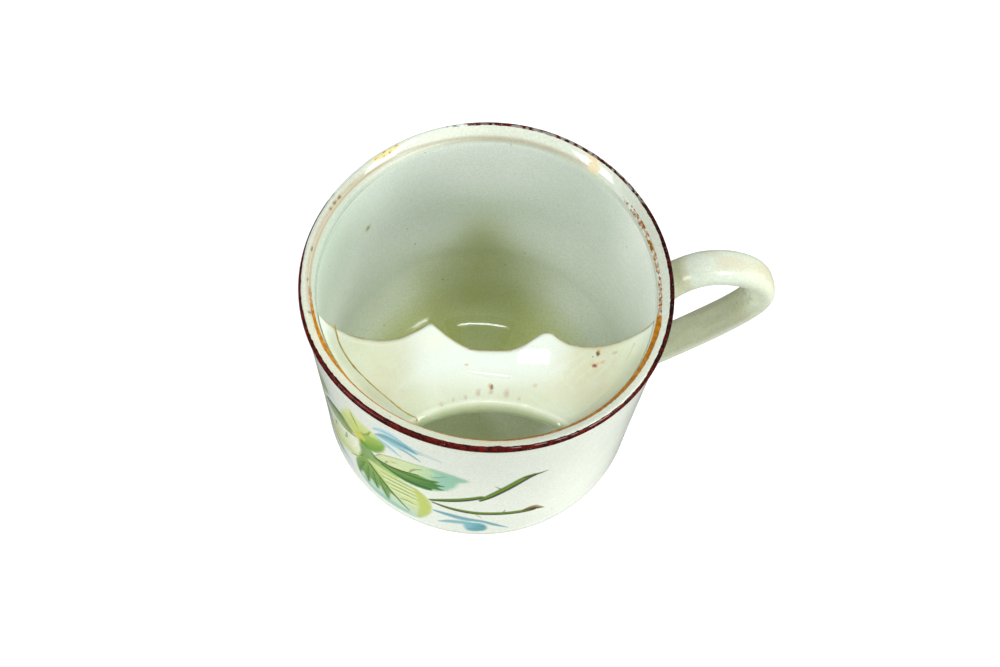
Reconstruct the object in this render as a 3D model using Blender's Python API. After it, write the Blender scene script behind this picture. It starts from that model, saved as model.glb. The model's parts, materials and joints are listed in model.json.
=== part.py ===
"""Porcelain moustache cup for a shaving set, in metres, +Z up, standing on z = 0.

The cup's axis is vertical and the handle lies along +X. The origin is under the middle of the
whole object, so the cup's axis stands a little way along -X from it. Every piece is a separate
closed solid, and pieces that meet keep a hairline gap to each other.
"""

import math

import bmesh
import bpy
from mathutils import Vector

# Driving dimensions.
RIM_RADIUS = 0.045
HEIGHT = 0.072
HANDLE_REACH = 0.072
GAP = 0.0003

# Cup body, as radii from the cup's axis and heights.
WALL = 0.0033
LIP_ROUND = 0.0009
LIP_TOP_R = RIM_RADIUS - LIP_ROUND
WALL_TOP_R = 0.04385
WALL_TOP_Z = 0.0684
WALL_LOW_R = 0.03906
WALL_LOW_Z = 0.0124
BASE_R = 0.028
BASE_Z = 0.0025
FOOT_OUTER_R = 0.0267
FOOT_INNER_R = 0.0243
FOOT_EDGE = 0.0006
UNDERSIDE_Z = 0.0018
FLOOR_Z = 0.007
FLOOR_R = 0.028
FLOOR_ROUND_Z = 0.015
TURN_STEPS = 64

# Lip: it slopes down and inward from its crown, and carries two painted lines.
LIP_CROWN_R = 0.0437
LIP_INNER_R = 0.0412
LIP_INNER_Z = 0.0700
LIP_THROAT_Z = 0.0686
RECESS = 0.00055
LINE_THICK = 0.00025
RIM_LINE_FROM = math.radians(-38)
RIM_LINE_TO = math.radians(68)
RIM_LINE_INSET = math.radians(6)
GILT_FROM = 0.34
GILT_TO = 0.70

# Moustache guard, in its own frame: x to the right, y towards the back, centred on the cup's axis.
GUARD_TURN = math.radians(-7)
GUARD_R = 0.0389
GUARD_TOP_Z = 0.0668
GUARD_THICK = 0.0032
GUARD_COLUMNS = 46
GUARD_END_X = 0.0377
CRESCENT_R = 0.0336
CRESCENT_CENTRE_Y = -0.0644
GUARD_EDGE_BACK = 0.0011
GUARD_EDGE_FRONT = 0.0016
WING_DISH = 0.0008
WING_X = 0.026
WING_Y = -0.024
WING_SPREAD = 0.0075
# The wavy rear edge: troughs and peaks from left to right.
REAR_EDGE = [(-0.0381, -0.0079), (-0.0264, -0.0127), (-0.0131, -0.0083), (0.0, -0.01505),
             (0.0151, -0.00995), (0.0236, -0.0137), (0.0381, -0.0079)]
TROUGHS = (1, 3, 5)
ARM_POWER = 1.7
PEAK_ROUNDING = 0.0012

# Slip that beds the guard on the wall, and the gilt lines on the guard.
SLIP_THICK = 0.0005
SLIP_FROM = math.radians(14)
SLIP_TO = math.radians(58)
SLIP_RISE = 0.0016
SLIP_SPREAD = 0.0012
GUARD_GILT_R = 0.0370
GUARD_GILT_WIDTH = 0.0006
GUARD_GILT_THICK = 0.0002
GUARD_GILT_FROM = math.radians(18)
GUARD_GILT_TO = math.radians(60)
ARC_STEPS = 14

# Handle: its centreline as radii from the cup's axis and heights, with the bend's tangent arms.
HANDLE_WIDTH = 0.0090
HANDLE_THICK = 0.0059
HANDLE_ROOT_TOP = (0.0390, 0.0562)
HANDLE_CREST = (0.0545, 0.0689)
HANDLE_OUT = (HANDLE_REACH - HANDLE_THICK / 2, 0.0555)
HANDLE_ROOT_LOW = (0.0365, 0.0229)
HANDLE_ARMS = [((0.0435, 0.0618), (0.0478, 0.0689)), ((0.0615, 0.0689), (HANDLE_OUT[0], 0.0625)),
               ((HANDLE_OUT[0], 0.0480), (0.0528, 0.0350))]
HANDLE_RINGS = 33
HANDLE_SIDES = 16
HANDLE_SQUARENESS = 2.3
ROOT_FLARE = 0.06
ROOT_FLARE_LENGTH = 0.07
ROOT_SLIP_THICK = 0.0006
ROOT_SLIP_SPREAD = 1.08

AXIS_X = -(HANDLE_REACH - RIM_RADIUS) / 2


def clear_scene():
    for thing in list(bpy.data.objects):
        bpy.data.objects.remove(thing, do_unlink=True)


def finish_of(name, colour, roughness, metallic=0.0):
    """A plain Principled material."""
    material = bpy.data.materials.new(name)
    material.use_nodes = True
    shader = material.node_tree.nodes["Principled BSDF"]
    shader.inputs["Base Color"].default_value = (*colour, 1.0)
    shader.inputs["Roughness"].default_value = roughness
    shader.inputs["Metallic"].default_value = metallic
    return material


def add_piece(name, mesh, material, axis):
    """Places a mesh made about the cup's axis, under the axis empty, and shades it smooth."""
    piece = bpy.data.objects.new(name, mesh)
    bpy.context.scene.collection.objects.link(piece)
    piece.parent = axis
    mesh.materials.append(material)
    mesh.shade_smooth()
    mesh.set_sharp_from_angle(angle=math.radians(40))
    return piece


def arc(centre, radii, start, end, steps):
    """Points along an elliptic arc, with angles measured anticlockwise from outward."""
    points = []
    for step in range(steps + 1):
        angle = start + (end - start) * step / steps
        points.append((centre[0] + radii[0] * math.cos(angle), centre[1] + radii[1] * math.sin(angle)))
    return points


def outer_wall_r(z):
    """Radius of the cup's outside, from the base rounding up to the neck under the lip."""
    if z < WALL_LOW_Z:
        fall = (WALL_LOW_Z - max(z, BASE_Z)) / (WALL_LOW_Z - BASE_Z)
        return BASE_R + (WALL_LOW_R - BASE_R) * math.sqrt(1 - fall * fall)
    rise = (z - WALL_LOW_Z) / (WALL_TOP_Z - WALL_LOW_Z)
    return WALL_LOW_R + (WALL_TOP_R - WALL_LOW_R) * rise


def inner_wall_r(z):
    return outer_wall_r(z) - WALL


def lip_centre():
    return (LIP_TOP_R, HEIGHT - LIP_ROUND)


def lip_slope(along, depth=0.0):
    """A point on the lip's inward slope, 0 at its crown and 1 at its throat, sunk by depth."""
    run = Vector((LIP_INNER_R - LIP_CROWN_R, LIP_INNER_Z - HEIGHT))
    down = Vector((-run.y, run.x)).normalized() * depth
    if down.y > 0:
        down.negate()
    return (LIP_CROWN_R + run.x * along + down.x, HEIGHT + run.y * along + down.y)


def body_profile():
    """Half outline of the cup, from the floor's centre, up the inside and down the outside."""
    points = [(0.0, FLOOR_Z)]
    round_r = inner_wall_r(FLOOR_ROUND_Z) - FLOOR_R
    points += arc((FLOOR_R, FLOOR_ROUND_Z), (round_r, FLOOR_ROUND_Z - FLOOR_Z), -math.pi / 2, 0, 6)
    points += [(inner_wall_r(z), z) for z in (0.033, 0.051, LIP_THROAT_Z - 0.0008)]
    points += [(inner_wall_r(LIP_THROAT_Z) + 0.0002, LIP_THROAT_Z)]
    points += [lip_slope(1.0), lip_slope(GILT_TO), lip_slope(GILT_TO, RECESS)]
    points += [lip_slope(GILT_FROM, RECESS), lip_slope(GILT_FROM), lip_slope(0.0)]
    sunk = LIP_ROUND - RECESS
    points += arc(lip_centre(), (LIP_ROUND, LIP_ROUND), math.pi / 2, RIM_LINE_TO, 2)
    points += arc(lip_centre(), (sunk, sunk), RIM_LINE_TO, RIM_LINE_FROM, 5)
    points += arc(lip_centre(), (LIP_ROUND, LIP_ROUND), RIM_LINE_FROM, -math.pi / 3, 1)
    points += [(WALL_TOP_R + 0.0001, WALL_TOP_Z + 0.0010), (WALL_TOP_R, WALL_TOP_Z)]
    points += [(outer_wall_r(z), z) for z in (0.050, 0.031)]
    base = (BASE_R, WALL_LOW_Z)
    points += arc(base, (WALL_LOW_R - BASE_R, WALL_LOW_Z - BASE_Z), 0, -math.pi / 2, 7)
    points += [(FOOT_OUTER_R + FOOT_EDGE, FOOT_EDGE), (FOOT_OUTER_R, 0.0), (FOOT_INNER_R, 0.0)]
    points += [(FOOT_INNER_R - FOOT_EDGE, FOOT_EDGE), (FOOT_INNER_R - 2 * FOOT_EDGE, UNDERSIDE_Z)]
    points += [(0.0, UNDERSIDE_Z)]
    return points


def rim_line_profile():
    """Section of the enamel band that wraps the lip's outer edge."""
    first = RIM_LINE_TO - RIM_LINE_INSET
    last = RIM_LINE_FROM + RIM_LINE_INSET
    inside = LIP_ROUND - LINE_THICK
    outer = arc(lip_centre(), (LIP_ROUND, LIP_ROUND), first, last, 5)
    return outer + arc(lip_centre(), (inside, inside), last, first, 5)


def gilt_line_profile():
    """Section of the gilt band in the lip's slope."""
    inset = 0.09
    low, high = GILT_FROM + inset, GILT_TO - inset
    return [lip_slope(high), lip_slope(low), lip_slope(low, LINE_THICK), lip_slope(high, LINE_THICK)]


def turned(name, profile, closed, material, axis):
    """A piece turned about the cup's axis with a Screw modifier."""
    mesh = bpy.data.meshes.new(name)
    count = len(profile)
    edges = [(i, (i + 1) % count) for i in range(count if closed else count - 1)]
    mesh.from_pydata([(r, 0.0, z) for r, z in profile], edges, [])
    piece = add_piece(name, mesh, material, axis)
    screw = piece.modifiers.new("turn", "SCREW")
    screw.steps = TURN_STEPS
    screw.render_steps = TURN_STEPS
    screw.use_merge_vertices = True
    screw.merge_threshold = 0.00001
    screw.use_smooth_shade = True
    return piece


def lofted(name, rings, material, axis, centres=None):
    """A closed solid through rings of equal point count; flat or pointed caps close its ends."""
    shape = bmesh.new()
    loops = [[shape.verts.new(point) for point in ring] for ring in rings]
    count = len(rings[0])
    for here, there in zip(loops, loops[1:]):
        for i in range(count):
            j = (i + 1) % count
            shape.faces.new((here[i], here[j], there[j], there[i]))
    for index, loop in ((0, loops[0][::-1]), (1, loops[-1])):
        if centres is None:
            shape.faces.new(loop)
            continue
        hub = shape.verts.new(centres[index])
        for i in range(count):
            shape.faces.new((loop[i], loop[(i + 1) % count], hub))
    bmesh.ops.recalc_face_normals(shape, faces=shape.faces)
    mesh = bpy.data.meshes.new(name)
    shape.to_mesh(mesh)
    shape.free()
    return add_piece(name, mesh, material, axis)


def rear_edge_plain(x):
    """The guard's rear edge before its peaks are rounded."""
    x = min(max(x, REAR_EDGE[0][0]), REAR_EDGE[-1][0])
    for left in range(len(REAR_EDGE) - 1):
        (x0, y0), (x1, y1) = REAR_EDGE[left], REAR_EDGE[left + 1]
        if x <= x1:
            break
    if left in TROUGHS:
        return y0 + (y1 - y0) * ((x - x0) / (x1 - x0)) ** ARM_POWER
    return y1 + (y0 - y1) * ((x1 - x) / (x1 - x0)) ** ARM_POWER


def rear_edge(x):
    """The wavy rear edge, with its peaks rounded by averaging over a short stretch."""
    shifts = [PEAK_ROUNDING * (i / 4 - 1) for i in range(9)]
    return sum(rear_edge_plain(x + shift) for shift in shifts) / len(shifts)


def front_edge(x):
    """The guard's front edge: the crescent in the middle, and the wall's circle beside it."""
    circle = -math.sqrt(GUARD_R**2 - x * x)
    if abs(x) >= CRESCENT_R:
        return circle
    return max(circle, CRESCENT_CENTRE_Y + math.sqrt(CRESCENT_R**2 - x * x))


def guard_top(x, y):
    """Height of the guard's top, which is slightly dished in each wing."""
    away = ((abs(x) - WING_X) ** 2 + (y - WING_Y) ** 2) / WING_SPREAD**2
    return GUARD_TOP_Z - WING_DISH * math.exp(-away)


def guard_section(x):
    """One upright slice of the guard from front to back, with both edges rounded."""
    front, back = front_edge(x), rear_edge(x)
    length = back - front
    round_front = min(GUARD_EDGE_FRONT, 0.45 * length)
    round_back = min(GUARD_EDGE_BACK, 0.45 * length)
    half = GUARD_THICK / 2
    flat = [front + round_front + (length - round_front - round_back) * i / 8 for i in range(1, 8)]
    outline = [(front + round_front * (1 - math.cos(a)), math.sin(a))
               for a in (math.radians(d) for d in (0, 30, 60, 90))]
    outline += [(y, 1.0) for y in flat]
    outline += [(back - round_back * (1 - math.cos(a)), math.sin(a))
                for a in (math.radians(d) for d in (90, 60, 30, 0, -30, -60, -90))]
    outline += [(y, -1.0) for y in reversed(flat)]
    outline += [(front + round_front * (1 - math.cos(a)), math.sin(a))
                for a in (math.radians(d) for d in (-90, -60, -30))]
    return [Vector((x, y, guard_top(x, y) - half + half * side)) for y, side in outline]


def turn_guard(point):
    """From the guard's own frame to the cup's."""
    cos, sin = math.cos(GUARD_TURN), math.sin(GUARD_TURN)
    return Vector((point.x * cos - point.y * sin, point.x * sin + point.y * cos, point.z))


def guard(material, axis):
    widest = math.asin(GUARD_END_X / GUARD_R)
    rings = []
    for i in range(GUARD_COLUMNS + 1):
        x = GUARD_R * math.sin(widest * (2 * i / GUARD_COLUMNS - 1))
        rings.append([turn_guard(point) for point in guard_section(x)])
    return lofted("moustache_guard", rings, material, axis)


def swept_on_guard(name, section, start, end, side, material, axis):
    """A strip along an arc beside the wall. section(x, y) gives (radius, height) points there."""
    rings = []
    for i in range(ARC_STEPS + 1):
        angle = start + (end - start) * i / ARC_STEPS
        across, back = side * math.cos(angle), -math.sin(angle)
        rings.append([turn_guard(Vector((r * across, r * back, z))) for r, z in section(across, back)])
    return lofted(name, rings, material, axis)


def slip_section(across, back):
    """Slip squeezed between the guard's edge and the wall, with a small fillet on top."""
    inside = GUARD_R + GAP
    low = GUARD_TOP_Z - GUARD_THICK
    top = guard_top(GUARD_R * across, GUARD_R * back) + GAP
    high = top + SLIP_RISE
    return [(inside, low), (inside + SLIP_THICK, low), (inner_wall_r(high) - GAP, high),
            (inside + 0.0001, top + 0.0004), (GUARD_R - SLIP_SPREAD, top + 0.0001),
            (GUARD_R - SLIP_SPREAD, top), (inside, top)]


def guard_gilt_section(across, back):
    """Gilt line on the guard, beside the wall."""
    near, far = GUARD_GILT_R - GUARD_GILT_WIDTH / 2, GUARD_GILT_R + GUARD_GILT_WIDTH / 2
    base = guard_top(GUARD_GILT_R * across, GUARD_GILT_R * back) + GAP
    return [(near, base), (far, base), (far, base + GUARD_GILT_THICK), (near, base + GUARD_GILT_THICK)]


def handle_knots():
    return [HANDLE_ROOT_TOP, HANDLE_CREST, HANDLE_OUT, HANDLE_ROOT_LOW]


def handle_point(share):
    """Point and direction of the handle's centreline, 0 at the upper root and 1 at the lower."""
    spans = len(HANDLE_ARMS)
    span = min(int(share * spans), spans - 1)
    t = share * spans - span
    knots = handle_knots()
    p0, p3 = Vector(knots[span]), Vector(knots[span + 1])
    p1, p2 = (Vector(arm) for arm in HANDLE_ARMS[span])
    point = p0 * (1 - t) ** 3 + p1 * 3 * t * (1 - t) ** 2 + p2 * 3 * t * t * (1 - t) + p3 * t**3
    along = (p1 - p0) * (1 - t) ** 2 + (p2 - p1) * 2 * t * (1 - t) + (p3 - p2) * t * t
    return point, along.normalized()


def handle_ring(share, swell=1.0):
    """One cross-section of the handle, a soft-cornered oval, in the cup's frame."""
    point, along = handle_point(share)
    ends = min(share, 1 - share)
    grow = swell * (1 + ROOT_FLARE * math.exp(-((ends / ROOT_FLARE_LENGTH) ** 2)))
    ring = []
    for i in range(HANDLE_SIDES):
        angle = 2 * math.pi * i / HANDLE_SIDES
        cos, sin = math.cos(angle), math.sin(angle)
        power = 2 / HANDLE_SQUARENESS
        across = math.copysign(abs(cos) ** power, cos) * HANDLE_WIDTH / 2 * grow
        out = math.copysign(abs(sin) ** power, sin) * HANDLE_THICK / 2 * grow
        ring.append(Vector((point.x - along.y * out, across, point.y + along.x * out)))
    return ring, Vector((along.x, 0.0, along.y))


def meet_wall(point, direction, stand_off):
    """Slides a point along a direction until it stands off the cup's outside by stand_off."""
    slid = point.copy()
    for _ in range(30):
        short = outer_wall_r(slid.z) + stand_off - math.hypot(slid.x, slid.y)
        slid += direction * short / max(direction.x, 0.3)
    return slid


def root_cut(share, stand_off, swell=1.0):
    """A handle cross-section slid onto the wall, and the point at its middle."""
    ring, along = handle_ring(share, swell)
    outward = along if along.x > 0 else -along
    middle = sum(ring, Vector()) / len(ring)
    return ([meet_wall(point, outward, stand_off) for point in ring],
            meet_wall(middle, outward, stand_off))


def handle(material, axis):
    stand_off = 2 * GAP + ROOT_SLIP_THICK
    first, first_hub = root_cut(0.0, stand_off)
    last, last_hub = root_cut(1.0, stand_off)
    rings = [root_cut(0.0, stand_off, 0.5)[0], first]
    for i in range(1, HANDLE_RINGS):
        ring, _ = handle_ring(i / HANDLE_RINGS)
        clear = min(math.hypot(p.x, p.y) - outer_wall_r(p.z) for p in ring)
        if clear > stand_off + GAP:
            rings.append(ring)
    rings += [last, root_cut(1.0, stand_off, 0.5)[0]]
    return lofted("handle", rings, material, axis, (first_hub, last_hub))


def root_slip(name, share, material, axis):
    """The pad of slip between one handle root and the wall."""
    rings = []
    for swell, stand_off in ((ROOT_SLIP_SPREAD / 2, GAP), (ROOT_SLIP_SPREAD, GAP),
                             (ROOT_SLIP_SPREAD, GAP + ROOT_SLIP_THICK),
                             (ROOT_SLIP_SPREAD / 2, GAP + ROOT_SLIP_THICK)):
        rings.append(root_cut(share, stand_off, swell))
    hubs = (rings[0][1], rings[-1][1])
    return lofted(name, [ring for ring, _ in rings], material, axis, hubs)


def build():
    clear_scene()
    axis = bpy.data.objects.new("cup_axis", None)
    axis.location.x = AXIS_X
    bpy.context.scene.collection.objects.link(axis)

    porcelain = (0.76, 0.79, 0.72)
    turned("cup_body", body_profile(), False, finish_of("cup_glaze", porcelain, 0.12), axis)
    guard(finish_of("guard_glaze", (0.80, 0.82, 0.74), 0.12), axis)
    handle(finish_of("handle_glaze", (0.72, 0.75, 0.66), 0.14), axis)
    root_slip("handle_slip_upper", 0.0, finish_of("upper_slip", (0.66, 0.68, 0.55), 0.2), axis)
    root_slip("handle_slip_lower", 1.0, finish_of("lower_slip", (0.66, 0.68, 0.55), 0.2), axis)

    for name, side in (("left", -1), ("right", 1)):
        slip = finish_of(name + "_slip", porcelain, 0.15)
        swept_on_guard("guard_slip_" + name, slip_section, SLIP_FROM, SLIP_TO, side, slip, axis)
        gilt = finish_of(name + "_gilt", (0.62, 0.38, 0.08), 0.35, 0.6)
        swept_on_guard("guard_gilt_line_" + name, guard_gilt_section, GUARD_GILT_FROM,
                       GUARD_GILT_TO, side, gilt, axis)

    maroon = finish_of("rim_enamel", (0.16, 0.02, 0.01), 0.3)
    turned("rim_enamel_line", rim_line_profile(), True, maroon, axis)
    gilt = finish_of("lip_gilt", (0.62, 0.36, 0.05), 0.35, 0.6)
    turned("lip_gilt_line", gilt_line_profile(), True, gilt, axis)


build()
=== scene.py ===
"""Moustache cup of white glazed porcelain for a shaving set: the looks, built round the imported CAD.

Shapes are made in millimetres about the cup's axis, with the handle along +X, and add_mesh() moves them to
the row frame in metres. Colours written as paint(...) are display colours from 0 to 255. An angle called
theta is in radians from the handle towards the back, and one called degrees or around is in degrees.
"""

import json
import math

import bpy
import numpy as np
from mathutils import Matrix, Quaternion, Vector

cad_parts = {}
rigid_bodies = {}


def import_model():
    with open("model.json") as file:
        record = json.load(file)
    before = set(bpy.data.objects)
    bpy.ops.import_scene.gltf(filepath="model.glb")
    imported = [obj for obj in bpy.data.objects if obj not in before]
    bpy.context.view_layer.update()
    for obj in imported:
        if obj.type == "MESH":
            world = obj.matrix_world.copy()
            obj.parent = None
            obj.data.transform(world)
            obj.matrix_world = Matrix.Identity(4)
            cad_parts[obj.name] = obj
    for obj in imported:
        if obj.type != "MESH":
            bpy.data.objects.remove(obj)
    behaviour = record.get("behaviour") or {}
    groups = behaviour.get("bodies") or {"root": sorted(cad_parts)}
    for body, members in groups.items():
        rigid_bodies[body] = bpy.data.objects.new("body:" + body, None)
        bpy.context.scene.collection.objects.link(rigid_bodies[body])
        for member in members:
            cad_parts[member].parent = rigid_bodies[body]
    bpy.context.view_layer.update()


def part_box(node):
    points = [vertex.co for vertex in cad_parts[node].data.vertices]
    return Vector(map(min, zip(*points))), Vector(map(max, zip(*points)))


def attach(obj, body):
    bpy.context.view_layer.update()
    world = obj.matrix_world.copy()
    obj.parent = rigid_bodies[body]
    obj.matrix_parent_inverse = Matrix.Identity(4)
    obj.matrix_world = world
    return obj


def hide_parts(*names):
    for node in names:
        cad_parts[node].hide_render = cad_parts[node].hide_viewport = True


for thing in list(bpy.data.objects):
    bpy.data.objects.remove(thing, do_unlink=True)
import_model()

# Places taken from the frame.
MM = 0.001
body_low, body_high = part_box("cup_body")
AXIS_X = (body_low.x + body_high.x) / 2 / MM
RIM_R = (body_high.x - body_low.x) / 2 / MM
HEIGHT = body_high.z / MM

# Cup body.
WALL = 3.3
FLOOR_Z = 7.0
BOWL_FLAT_R = 17.0
BOWL_TOP = 23.0
THROAT_Z = 67.4
LIP_KNOTS = [(RIM_R - inward, HEIGHT - down) for inward, down in (
    (3.8, 2.07), (2.95, 1.23), (2.0, 0.52), (1.25, 0.1), (0.8, 0), (0.3, 0.22), (0.02, 0.72), (0.1, 1.3),
    (0.42, 1.68))]
LIP_LENGTH = 5.9
THROAT_KNOTS = [(40.62, 68.4), (40.84, 69.2)]
NECK_KNOTS = [(44.2, 69.9), (43.95, 69.3)]
WALL_TOP = (43.85, 68.4)
WALL_LOW = (39.06, 12.4)
BASE = (28.0, 2.5)
FOOT_KNOTS = [(27.6, 2.2), (27.25, 1.3), (27.05, 0.5), (26.6, 0.06), (26.1, 0.0), (25.0, 0.0), (24.4, 0.08),
              (23.9, 0.6), (23.5, 1.5), (22.7, 1.85)]
UNDERSIDE_Z = 1.85
TURN_STEPS = 464
AGE_SPOT = (math.radians(131), 51.7)

# Moustache guard, in its own frame turned a little about the axis: x to the right, y to the back.
GUARD_TURN = math.radians(-7)
GUARD_TOP = 66.8
GUARD_THICK = 3.0
GUARD_BURIED_R = 42.2
GUARD_HALF_WIDTH = 41.3
GUARD_EDGE_Z = 67
WING_DEPTH, WING_X, WING_Y, WING_REACH = 0.6, 27, -23, 7.5

# Its edges: how far each fillet or roll reaches, and how far it rises or falls where that isn't a share.
FILLET, UNDER_FILLET = (2.7, 1.75), (1.6, 1.2)
REAR_ROLL, FRONT_ROLL = 1.9, 2.3
REAR_UNDER_ROLL, FRONT_UNDER_ROLL = 1.0, 1.4
BEAD_HEIGHT, BEAD_PLACE, BEAD_WIDTH = 0.12, 2.2, 0.9
CRESCENT_R = 33.6
CRESCENT_CENTRE_Y = -64.4
REAR_EDGE = [(-46, -3.0), (-41, -5.8), (-37.5, -8.6), (-34, -10.7), (-30, -12.0), (-25.5, -12.5),
             (-21, -11.9), (-17.2, -10.0), (-14.6, -8.35), (-13.4, -8.0), (-12.2, -8.9), (-9.5, -11.2),
             (-6, -13.6), (-3, -14.7), (0, -14.85), (4.5, -14.75), (8, -13.7), (11.4, -11.3), (13.2, -10.15),
             (14.4, -9.85),
             (15.6, -10.15), (18, -12.0), (20.6, -13.1), (24, -13.45), (28, -13.1), (33, -11.5), (37.5, -9.0),
             (41.5, -6.2), (46, -3.0)]
GILT_LEFT = [(-36.4, -9.0), (-36.0, -11.6), (-34.9, -15), (-32.2, -19.5), (-28.5, -23.6), (-24.4, -27.6),
             (-20.6, -31.2), (-18.0, -33.0), (-17.0, -33.5), (-16.6, -34.3)]
GILT_RIGHT = [(35.4, -13), (33, -18), (30.2, -23), (26.5, -27.5), (22, -31.3)]

# Handle: its centreline as radii from the axis and heights, with the bends' tangent arms.
HANDLE_WIDTH = 9.0
HANDLE_THICK = 5.9
HANDLE_KNOTS = [(39.0, 56.2), (54.5, 68.9), (69.05, 55.5), (36.5, 22.9)]
HANDLE_ARMS = [((43.5, 61.8), (47.8, 68.9)), ((61.5, 68.9), (69.05, 62.5)), ((69.05, 48.0), (52.8, 35.0))]
HANDLE_SQUARENESS = 2.3
HANDLE_FLARE, FLARE_REACH = 1.5, 1.25

# The painted spray's patch of wall. Its across coordinate is an arc length at this radius, from the handle.
SPRAY_R = 42.0
SPRAY_SPAN = (-184, -129, -52)
SPRAY_HEIGHTS = (9.0, 67.0)
BLOOM = (-150, 39)

# How far a painted line stands off the glaze, how deep its edges are sunk, and its steps round the lip.
LINE_LIFT = 0.05
LINE_SINK = 0.02
LINE_STEPS = 1100

# The stage, the light from all round, and the glow of the white ground.
FLOOR_HALF = 2.5
WORLD_ABOVE, WORLD_BELOW, FLOOR_GLOW = 0.36, 0.20, 0.50
BOUNCE = 1.35

# The camera, from the lens and the place that fit the photograph.
CAMERA_ELEVATION, CAMERA_ROLL, CAMERA_TURN = math.radians(62.646), math.radians(5.133), math.radians(-12)
CAMERA_PLACE = (3.996, -318.83, 662.66)
CAMERA_LENS = 100.8

rng = np.random.default_rng(1887)
LATTICE = rng.random((256, 256))


# ---------------------------------------------------------------- small tools


def blend(low, high, value):
    """0 below low and 1 above high, smooth between. With low above high it falls instead."""
    share = np.clip((value - low) / (high - low), 0, 1)
    return share * share * (3 - 2 * share)


def bump(value, middle, width):
    """A bell of height 1 about the middle."""
    return np.exp(-(((value - middle) / width) ** 2))


def noise(u, v):
    """Smooth value noise from 0 to 1 over a plane."""
    u, v = np.broadcast_arrays(np.asarray(u, float), np.asarray(v, float))
    column, row = np.floor(u).astype(int), np.floor(v).astype(int)
    fu, fv = u - column, v - row
    fu, fv = fu * fu * (3 - 2 * fu), fv * fv * (3 - 2 * fv)
    near, far = (LATTICE[column % 256, line % 256] * (1 - fu) + LATTICE[(column + 1) % 256, line % 256] * fu
                 for line in (row, row + 1))
    return near * (1 - fv) + far * fv


def clouds(u, v):
    """Noise at three sizes, from 0 to 1."""
    return (noise(u, v) * 4 + noise(2.1 * u + 31, 2.1 * v + 7) * 2 + noise(4.3 * u + 3, 4.3 * v + 57)) / 7


def curve(points, steps=10, closed=False):
    """Points along a smooth line through the given ones, whatever each holds."""
    knots = np.array(points, float)
    if closed:
        knots = np.vstack([knots[-1], knots, knots[:2]])
    else:
        knots = np.vstack([2 * knots[0] - knots[1], knots, 2 * knots[-1] - knots[-2]])
    t = np.linspace(0, 1, steps, endpoint=False)[:, None]
    spans = []
    for a, b, c, d in zip(knots, knots[1:], knots[2:], knots[3:]):
        cubic = (2 * a - 5 * b + 4 * c - d) * t**2 + (3 * b - a - 3 * c + d) * t**3
        spans.append(0.5 * (2 * b + (c - a) * t + cubic))
    line = np.vstack(spans)
    return line if closed else np.vstack([line, knots[-2]])


def run_of(line):
    """The distance from a line's start to each of its points."""
    return np.concatenate([[0], np.cumsum(np.hypot(*np.diff(line, axis=0).T))])


def nearest(line, across, up):
    """For each point: its distance to a line, the share of the line's length there, and its signed offset."""
    runs = run_of(line)
    distance = np.full(across.shape, np.inf)
    along, side = np.zeros(across.shape), np.zeros(across.shape)
    for start, step, length, run in zip(line, np.diff(line, axis=0), np.diff(runs), runs):
        if length < 1e-9:
            continue
        dx, dy = across - start[0], up - start[1]
        t = np.clip((dx * step[0] + dy * step[1]) / length**2, 0, 1)
        gap = np.hypot(dx - t * step[0], dy - t * step[1])
        closer = gap < distance
        distance = np.where(closer, gap, distance)
        along = np.where(closer, (run + t * length) / runs[-1], along)
        side = np.where(closer, np.sign(step[0] * dy - step[1] * dx) * gap, side)
    return distance, along, side


def inside(outline, across, up):
    """Whether each point is inside a closed outline."""
    found = np.zeros(across.shape, bool)
    for (x0, y0), (x1, y1) in zip(outline, np.roll(outline, -1, axis=0)):
        if y0 == y1:
            continue
        crosses = (y0 > up) != (y1 > up)
        found ^= crosses & (across < x0 + (up - y0) * (x1 - x0) / (y1 - y0))
    return found


def keyed(points, theta):
    """A value by angle, smooth between (degrees, value) points that go once round."""
    table = np.array(points, float)
    table = np.vstack([table[-1] - (360, 0), table, table[0] + (360, 0)])
    line = curve(table, 8)
    return np.interp(np.degrees(theta), line[:, 0], line[:, 1])


# ---------------------------------------------------------------- colours and painting

GLAZE = np.array([0.80, 0.875, 0.78])
GLOSS_SEEN = 0.03


def linear(colour):
    """A display colour, 0 to 255, as linear light."""
    c = np.array(colour, float) / 255
    return np.where(c <= 0.04045, c / 12.92, ((c + 0.055) / 1.055) ** 2.4)


WALL_SEEN = linear((224, 234, 220))


def paint(red, green, blue):
    """The albedo of a colour as it looks beside glaze that looks like WALL_SEEN, less the gloss over both."""
    return np.maximum(linear((red, green, blue)) - GLOSS_SEEN, 0.004) / (WALL_SEEN - GLOSS_SEEN) * GLAZE


def tinted(colour, mask, other):
    """The colours, moved towards another where the mask is high."""
    return colour + np.asarray(mask)[:, None] * (np.asarray(other) - colour)


def outside_glaze_and_shade(z):
    """The outside's glaze, painted darker than the inside's, with painted shade under the rim that lightens
    towards the base.
    """
    share = blend(66, 20, np.asarray(z, float).ravel())[:, None]
    return GLAZE * (0.92, 0.90, 0.88) * (1 + 0.16 * share)


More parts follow.
